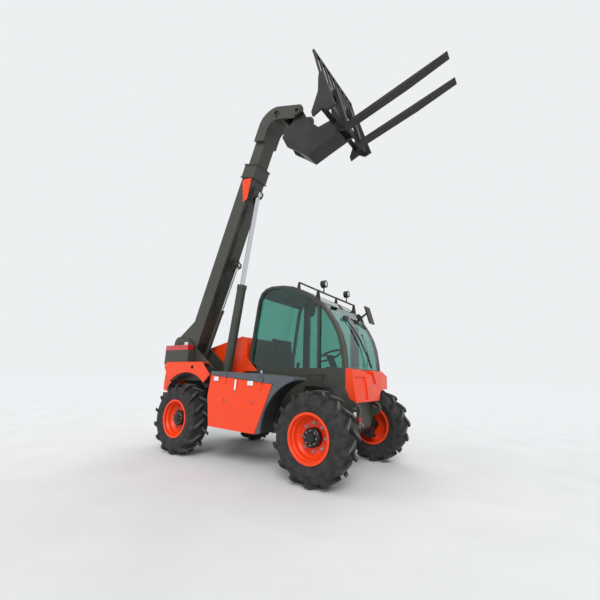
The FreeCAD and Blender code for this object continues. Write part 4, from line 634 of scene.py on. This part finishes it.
# %% [markdown]
# The seat is foam under woven cloth, so it is a soft piece: the CAD solid is copied a little
# smaller, remeshed fine, and blown up by Blender's cloth with a slight pressure, which crowns its
# faces and draws in its edges. The sewn channels are pressed in afterwards.

# %% Padded seat
FOAM_SHRINK = 0.010
FOAM_GRAIN = 0.006
FOAM_PRESSURE = 4
FOAM_FRAMES = 20
FOAM_CAP = 0.016
FACES_SITTER = 0.35  # how square to the sitter a surface is before a channel marks it
CHANNEL_WIDTH = 0.007
CHANNEL_DEPTH = 0.006
SIDE_CHANNELS = (0.115, 0.385)


def foam_blank(node, name):
    """A fine even mesh a little smaller than the CAD solid."""
    blank = copy_of_node(node, name)
    low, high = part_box(node)
    middle = middle_of(node)
    size = Vector(high) - Vector(low)
    factor = Matrix.Diagonal([(s - 2 * FOAM_SHRINK) / s for s in size]).to_4x4()
    blank.data.transform(Matrix.Translation(middle) @ factor @ Matrix.Translation(-middle))
    blank.data.remesh_voxel_size = FOAM_GRAIN
    bpy.ops.object.voxel_remesh()
    return blank


def blow_up(pad):
    before = [vertex.co.copy() for vertex in pad.data.vertices]
    only(pad)
    cloth = pad.modifiers.new("foam", "CLOTH")
    cloth.settings.use_pressure = True
    cloth.settings.uniform_pressure_force = FOAM_PRESSURE
    cloth.settings.effector_weights.gravity = 0
    for step in range(1, FOAM_FRAMES + 1):
        bpy.context.scene.frame_set(step)
    bpy.ops.object.modifier_apply(modifier=cloth.name)
    bpy.context.scene.frame_set(1)
    for vertex, old in zip(pad.data.vertices, before):
        move = vertex.co - old
        if move.length > FOAM_CAP:
            vertex.co = old + move * FOAM_CAP / move.length


def press_channels(pad, axis, places, facing):
    """Presses sewn lines in where the surface faces the sitter."""
    facings = [vertex.normal.dot(facing) for vertex in pad.data.vertices]
    for vertex, square_on in zip(pad.data.vertices, facings):
        if square_on > FACES_SITTER:
            sink = sum(math.exp(-((vertex.co[axis] - place) / CHANNEL_WIDTH) ** 2) for place in places)
            vertex.co -= facing * CHANNEL_DEPTH * sink


def keep_inside(pad, node):
    """Holds every point inside the box of the CAD solid that the pad stands for."""
    low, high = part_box(node)
    for vertex in pad.data.vertices:
        for i in range(3):
            vertex.co[i] = min(max(vertex.co[i], low[i]), high[i])


def finish_pad(pad, name, node):
    """Smooths a pad once and lets it stand for its CAD solid."""
    keep_inside(pad, node)
    only(pad)
    finer = pad.modifiers.new("finer", "SUBSURF")
    finer.levels = 1
    finer.render_levels = 1
    bpy.ops.object.modifier_apply(modifier=finer.name)
    bpy.ops.object.shade_smooth()
    settle(pad, name, "seat_cover", "chassis")
    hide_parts(node)


SEAT_PADS = [
    # node, way the pad faces, axis of its cross channels, their places
    ("seat_cushion", Vector((0, 0, 1)), 0, (-0.39, -0.28, -0.17)),
    ("seat_back", Vector((1, 0, 0)), 2, (1.2, 1.32, 1.44)),
]
for node, facing, axis, places in SEAT_PADS:
    pad = foam_blank(node, node + "_soft")
    blow_up(pad)
    press_channels(pad, 1, SIDE_CHANNELS, facing)
    press_channels(pad, axis, places, facing)
    finish_pad(pad, node + "_soft", node)
    print(pad.name, "faces", len(pad.data.polygons))

# %% [markdown]
# The glass is bonded to the frame, and a black ceramic border is fired on its edge to hide the
# glue. It is the pane itself, cut down to a narrow margin by bisecting planes and set just proud.

# %% Black border on the windshield
BORDER = 0.045
TOP_BORDER = 1.6  # the screen lies back at its top, where the border is this many times as wide
BORDER_PROUD = 0.0006


def margin(node, name, opening):
    """A copy of a pane without its middle; opening is planes whose normals point into the middle."""
    edge = copy_of_node(node, name)
    bpy.ops.object.mode_set(mode="EDIT")
    for point, normal in opening:
        bpy.ops.mesh.select_all(action="SELECT")
        bpy.ops.mesh.bisect(plane_co=point, plane_no=normal, clear_inner=False, clear_outer=False)
    bpy.ops.mesh.select_all(action="DESELECT")
    bpy.ops.object.mode_set(mode="OBJECT")
    for face in edge.data.polygons:
        inside = all((face.center - Vector(point)).dot(Vector(normal)) > 0 for point, normal in opening)
        face.select = inside
    bpy.ops.object.mode_set(mode="EDIT")
    bpy.ops.mesh.select_mode(type="FACE")
    bpy.ops.mesh.delete(type="FACE")
    bpy.ops.mesh.select_mode(type="VERT")
    bpy.ops.object.mode_set(mode="OBJECT")
    face_outwards()
    edge.data.update()
    outward = [vertex.normal.copy() for vertex in edge.data.vertices]
    for vertex, normal in zip(edge.data.vertices, outward):
        vertex.co += normal * BORDER_PROUD
    return edge


screen_low, screen_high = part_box("windshield")
opening = [
    ((0, screen_low[1] + BORDER, 0), (0, 1, 0)),
    ((0, screen_high[1] - BORDER, 0), (0, -1, 0)),
    ((0, 0, screen_low[2] + BORDER), (0, 0, 1)),
    ((screen_low[0] + BORDER * TOP_BORDER, 0, 0), (1, 0, 0)),
]
border = margin("windshield", "windshield_border", opening)
settle(border, "windshield_border", "ceramic_black", "chassis")
print("border faces", len(border.data.polygons))

# %% [markdown]
# The wiper hangs from a motor box at the top of the screen: two thin parallel arms carry a blade
# that stands upright in its parked place. The arms follow the curved screen, a finger's width off.

# %% Screen wiper
ARM_RADIUS = 0.0055
ARMS_APART = 0.034
ARM_BENDS = [(0.652, 0.090, 1.812), (0.790, 0.180, 1.565), (0.850, 0.300, 1.325), (0.878, 0.345, 1.190)]
MOTOR_BOX = ((0.618, 0.060, 1.785), (0.668, 0.150, 1.850))
CLAMP_ENDS = ((0.868, 0.325, 1.225), (0.868, 0.395, 1.225))
BLADE_SIDE = 0.402
BLADE_OUTLINE = [(0.858, 1.175), (0.872, 1.175), (0.742, 1.640), (0.728, 1.640)]


def path_bar(points, radius, sides=12):
    """A bent round bar: straight lengths with a ball at each bend."""
    pieces = [bar(start, end, radius, sides) for start, end in zip(points, points[1:])]
    pieces += [ball(point, radius, sides, 8) for point in points[1:-1]]
    return joined(pieces)


first_arm = path_bar(ARM_BENDS, ARM_RADIUS)
second_arm = path_bar([(x, y + ARMS_APART, z) for x, y, z in ARM_BENDS], ARM_RADIUS)
motor = block(*MOTOR_BOX, 0.008)
clamp = bar(*CLAMP_ENDS, 0.010, 16, 0.002)
blade = leaf([(x, BLADE_SIDE, z) for x, z in BLADE_OUTLINE], 0.010, 0.002)
wiper = joined([first_arm, second_arm, motor, clamp, blade])
settle(wiper, "screen_wiper", "black_plastic", "chassis")
print("wiper faces", len(wiper.data.polygons))

# %% [markdown]
# Work lamps are black housings with a clear lens over a bright reflector. The housing is the CAD
# solid, so only the front is added: a round bezel, a reflector disc in it, and a slightly domed
# lens.

# %% Lamp fronts
LAMP_RADIUS = 0.036
LAMP_HEIGHT = 2.262
LAMP_SIDES = {"work_lamp_right": -0.120, "work_lamp_left": 0.520}
LAMP_SUNK = 0.003  # how far a front sits back from the housings' foremost point
DOME_SQUASH = 0.16


def lamp_front(name, x, y, z, radius):
    """Bezel, reflector and lens on a housing's front, facing forwards."""
    bezel = torus((x, y, z), radius, 0.005, (0, math.pi / 2, 0), 40)
    settle(bezel, name + "_bezel", "black_plastic", "chassis")
    disc = bar((x - 0.001, y, z), (x + 0.001, y, z), radius - 0.002, 32)
    settle(disc, name + "_reflector", "bright_reflector", "chassis")
    dome = ball((x, y, z), radius - 0.001, 32, 16, DOME_SQUASH)
    settle(dome, name + "_lens", "clear_lens", "chassis")


lamp_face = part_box("work_lamps")[1][0] - LAMP_SUNK
for name, y in LAMP_SIDES.items():
    lamp_front(name, lamp_face, y, LAMP_HEIGHT, LAMP_RADIUS)
print("lamp fronts", len(LAMP_SIDES), "at x", round(lamp_face, 4))

# %% [markdown]
# Film and stickers: an orange stripe on the boom near its collar, and plain white labels where the
# real machine has printed ones. Each is a thin leaf that stands a hair off its panel.

# %% Stripe and blank labels
FILM = 0.0008
FILM_PROUD = 0.0009
BOOM_INSET = 0.031  # the boom's right side lies this far inside the tower's
HORN_INSET = 0.010  # and the towing horn's this far inside the main frame's
STRIPE = [(-0.7635, 3.985), (-0.565, 3.968), (-0.635, 3.633), (-0.716, 3.590)]


def label(name, body, place, size, corner, turn):
    """A white leaf with rounded corners on a right-hand panel, turned in degrees in its own plane."""
    lean = math.radians(turn)
    across = Vector((math.cos(lean), 0, math.sin(lean)))
    up = Vector((-math.sin(lean), 0, math.cos(lean)))
    wide, high = size
    outline = []
    for x, y, begin in ((1, 1, 0), (-1, 1, 90), (-1, -1, 180), (1, -1, 270)):
        for step in (0, 30, 60, 90):
            angle = math.radians(begin + step)
            outline.append(Vector(place) + across * (x * (wide / 2 - corner) + corner * math.cos(angle))
                           + up * (y * (high / 2 - corner) + corner * math.sin(angle)))
    return settle(leaf(outline, FILM), name, "white_vinyl", body)


tower_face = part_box("boom_tower")[0][1] - FILM_PROUD
cover_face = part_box("side_cover")[0][1] - FILM_PROUD
horn_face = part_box("main_frame")[0][1] + HORN_INSET - FILM_PROUD
stripe = leaf([(x, tower_face + BOOM_INSET, z) for x, z in STRIPE], FILM)
settle(stripe, "boom_stripe", "orange_film", "boom")
LABELS = [
    # name, body, place, width and height, corner radius, turn in degrees
    ("cover_label_rear_top", "bonnet_side", (-0.680, cover_face, 0.998), (0.085, 0.050), 0.005, 0),
    ("cover_label_middle_tall", "bonnet_side", (-0.335, cover_face, 0.935), (0.030, 0.120), 0.005, -4),
    ("cover_label_front_top", "bonnet_side", (-0.090, cover_face, 0.960), (0.090, 0.052), 0.005, 0),
    ("horn_label", "chassis", (0.966, horn_face, 0.662), (0.034, 0.048), 0.003, -6),
]
for row in LABELS:
    label(*row)
print("labels", len(LABELS))

# %% [markdown]
# Small metal fittings: the catches in the side cover's round cups, each a stud with a wing across
# it, and the hook below the nose with a ring hung on it.

# %% Cover catches and front hook
CUPS = [(-0.505, 0.747), (-0.051, 0.752)]
STUD_RADIUS = 0.0085
STUD_IN, STUD_OUT = 0.012, 0.004  # depths below the cover's face
WING_IN, WING_OUT = 0.010, 0.006
WING_HALF_LONG, WING_HALF_HIGH = 0.016, 0.003
HOOK_SIDE = -0.130
HOOK_BENDS = [(0.905, 0.560), (0.948, 0.560), (0.956, 0.548)]
RING_PLACE = (0.960, 0.530)

catches = []
for x, z in CUPS:
    stud = ((x, cover_face + STUD_IN, z), (x, cover_face + STUD_OUT, z))
    catches.append(bar(*stud, STUD_RADIUS, 16, 0.0015))
    catches.append(block((x - WING_HALF_LONG, cover_face + WING_OUT, z - WING_HALF_HIGH),
                         (x + WING_HALF_LONG, cover_face + WING_IN, z + WING_HALF_HIGH), 0.001))
settle(joined(catches), "cover_latches", "zinc_plate", "bonnet_side")

ring = torus((RING_PLACE[0], HOOK_SIDE, RING_PLACE[1]), 0.022, 0.0045, (math.pi / 2, 0, 0), 32)
hook = path_bar([(x, HOOK_SIDE, z) for x, z in HOOK_BENDS], 0.007)
settle(joined([hook, ring]), "front_hook", "zinc_plate", "chassis")
print("catches", len(CUPS), "and one hook with its ring")

# %% [markdown]
# On the cab's side two black leaves are painted shade: a strip is the painted shadow under a grab
# handle, and a plate is the painted shade in a gap of the tub. A capped catch stands on the bonnet's
# rail, and a round lamp holder is let into the rear fender. A flat steel plate closes the corner
# between the cab's sill, the nose and the towing horn.

# %% Fittings on the cab and the fenders
PAINTED_SHADE_IN, PAINTED_SHADE_OUT = 0.001, 0.0015  # into the tub's side, and out of it
# the strip is painted shadow under a grab handle, the plate painted shade in a gap of the tub
HANDLE_SHADOW_STRIP = ((0.292, 1.070), (0.580, 1.083))
GAP_SHADE_PLATE = ((0.510, 0.950), (0.572, 1.072))
CATCH_PLACE = (-0.100, -0.665)
CATCH_FOOT, CATCH_SHOULDER, CATCH_TOP = 1.060, 1.104, 1.114
HOLDER_PLACE = (-1.324, 1.146)
HOLDER_DEEP = 0.004
CORNER_INSET = 0.003
CORNER_OUTLINE = [(0.780, 0.950), (0.836, 0.950), (0.882, 0.846), (0.965, 0.786), (0.950, 0.730),
                  (0.800, 0.730), (0.770, 0.820)]

tub_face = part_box("cab_tub")[0][1]
# two thin black leaves of painted shade on the tub's side
painted_shade_leaves = []
for (low_x, low_z), (high_x, high_z) in (HANDLE_SHADOW_STRIP, GAP_SHADE_PLATE):
    painted_shade_leaves.append(block((low_x, tub_face - PAINTED_SHADE_OUT, low_z), (high_x, tub_face + PAINTED_SHADE_IN, high_z), 0.0006))
settle(joined(painted_shade_leaves), "cab_side_painted_shade", "black_plastic", "chassis")

post = bar((*CATCH_PLACE, CATCH_FOOT), (*CATCH_PLACE, CATCH_SHOULDER), 0.020, 24, 0.003)
head = bar((*CATCH_PLACE, CATCH_SHOULDER - 0.004), (*CATCH_PLACE, CATCH_TOP), 0.011, 6, 0.002)
settle(joined([post, head]), "bonnet_catch", "zinc_plate", "chassis")

label("tower_label", "chassis", (-1.700, tower_face, 1.500), (0.085, 0.045), 0.006, 0)

fender_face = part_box("rear_fenders")[0][1]
holder_x, holder_z = HOLDER_PLACE
holder_ends = ((holder_x, fender_face + HOLDER_DEEP, holder_z), (holder_x, fender_face, holder_z))
holder = bar(*holder_ends, 0.026, 28, 0.001)
settle(holder, "marker_lamp_holder", "black_plastic", "chassis")

plate = leaf([(x, tub_face + CORNER_INSET, z) for x, z in CORNER_OUTLINE], 0.004, 0.001)
settle(plate, "cab_corner_plate", "olive_paint", "chassis")
print("cab and fender fittings", 5)

# %% [markdown]
# Inside the cab, beside the seat, a moulded console holds the joystick for the boom. It shows only
# as a dark shape through the tinted glass, so a few bevelled blocks are enough.

# %% Console and joystick
console = block((-0.440, -0.205, 0.610), (0.120, -0.040, 1.040), 0.030)
lid = block((-0.400, -0.190, 1.036), (0.060, -0.055, 1.056), 0.008)
stick = bar((0.020, -0.120, 1.050), (0.045, -0.120, 1.165), 0.010, 16)
grip = bar((0.043, -0.120, 1.150), (0.058, -0.120, 1.235), 0.021, 20, 0.009)
seat_side = settle(joined([console, lid, stick, grip]), "side_console", "black_plastic", "chassis")
print("console faces", len(seat_side.data.polygons))

# %% [markdown]
# The stage is a plain pale floor that runs out of sight, lit by a soft sky and three wide far
# lamps, so that a colour renders about as it is written. The camera, chrome and glass see the pale
# backdrop instead of the sky. Only the key lamp shows in gloss, because three glints on one pane
# look false.

# %% Stage and light
FLOOR_SIZE = 160
LAMPS = [
    # name, the way it shines, how wide it looks in degrees, strength
    ("key", (-5.5, 7.5, -7.6), 30, 1.65),
    ("fill", (7.0, 6.0, -5.0), 45, 0.45),
    ("back", (3.0, -8.0, -6.5), 45, 0.7),
]


def make_floor():
    """A pale matt floor at the tyres' feet, a little uneven in shade."""
    bpy.ops.object.select_all(action="DESELECT")
    bpy.ops.mesh.primitive_plane_add(size=FLOOR_SIZE, location=(0, 0, 0))
    floor = bpy.context.object
    floor.name = "floor"
    material, tree, body, place = new_finish("pale_floor", {"Roughness": 0.9})
    cloud = add(tree, "ShaderNodeTexNoise", {"Vector": place, "Scale": MM / 700, "Detail": 3})
    part = add(tree, "ShaderNodeMapRange", {"Value": cloud.outputs[0], "From Min": 0.3, "From Max": 0.7})
    shade = add(tree, "ShaderNodeMix", {"Factor": part.outputs[0], "A": linear("E2E2E0"),
                                        "B": linear("E8E8E6")}, data_type="RGBA")
    tree.links.new(shade.outputs["Result"], body.inputs["Base Color"])
    floor.data.materials.append(material)
    return floor


def make_world():
    """A soft sky that lights the model, and a pale backdrop for every ray that looks at it."""
    world = bpy.data.worlds.new("soft_sky")
    bpy.context.scene.world = world
    world.use_nodes = True
    tree = world.node_tree
    tree.nodes.clear()
    rays = add(tree, "ShaderNodeLightPath")
    dome = add(tree, "ShaderNodeBackground", {"Color": linear("E4E9F0"), "Strength": 0.7})
    back = add(tree, "ShaderNodeBackground", {"Color": linear("EDEFF1"), "Strength": 1.0})
    straight = add(tree, "ShaderNodeMath", {0: rays.outputs["Is Camera Ray"],
                                            1: rays.outputs["Is Transmission Ray"]}, operation="MAXIMUM")
    seen = add(tree, "ShaderNodeMath", {0: straight.outputs[0], 1: rays.outputs["Is Glossy Ray"]},
               operation="MAXIMUM")
    mix = add(tree, "ShaderNodeMixShader", {0: seen.outputs[0], 1: dome.outputs[0], 2: back.outputs[0]})
    add(tree, "ShaderNodeOutputWorld", {"Surface": mix.outputs[0]})


def add_lamp(name, toward, spread, strength):
    """A far lamp that shines the same on all of the floor; only the key one shows in gloss."""
    data = bpy.data.lights.new(name, "SUN")
    data.angle = math.radians(spread)
    data.energy = strength
    data.cycles.use_multiple_importance_sampling = False
    lamp = bpy.data.objects.new(name, data)
    bpy.context.scene.collection.objects.link(lamp)
    lamp.rotation_euler = Vector(toward).to_track_quat("-Z", "Y").to_euler()
    lamp.visible_transmission = False
    lamp.visible_glossy = name == "key"


bpy.context.scene.view_settings.view_transform = "Standard"
floor = make_floor()
make_world()
for row in LAMPS:
    add_lamp(*row)
print("stage", floor.name, "and", len(LAMPS), "lamps")
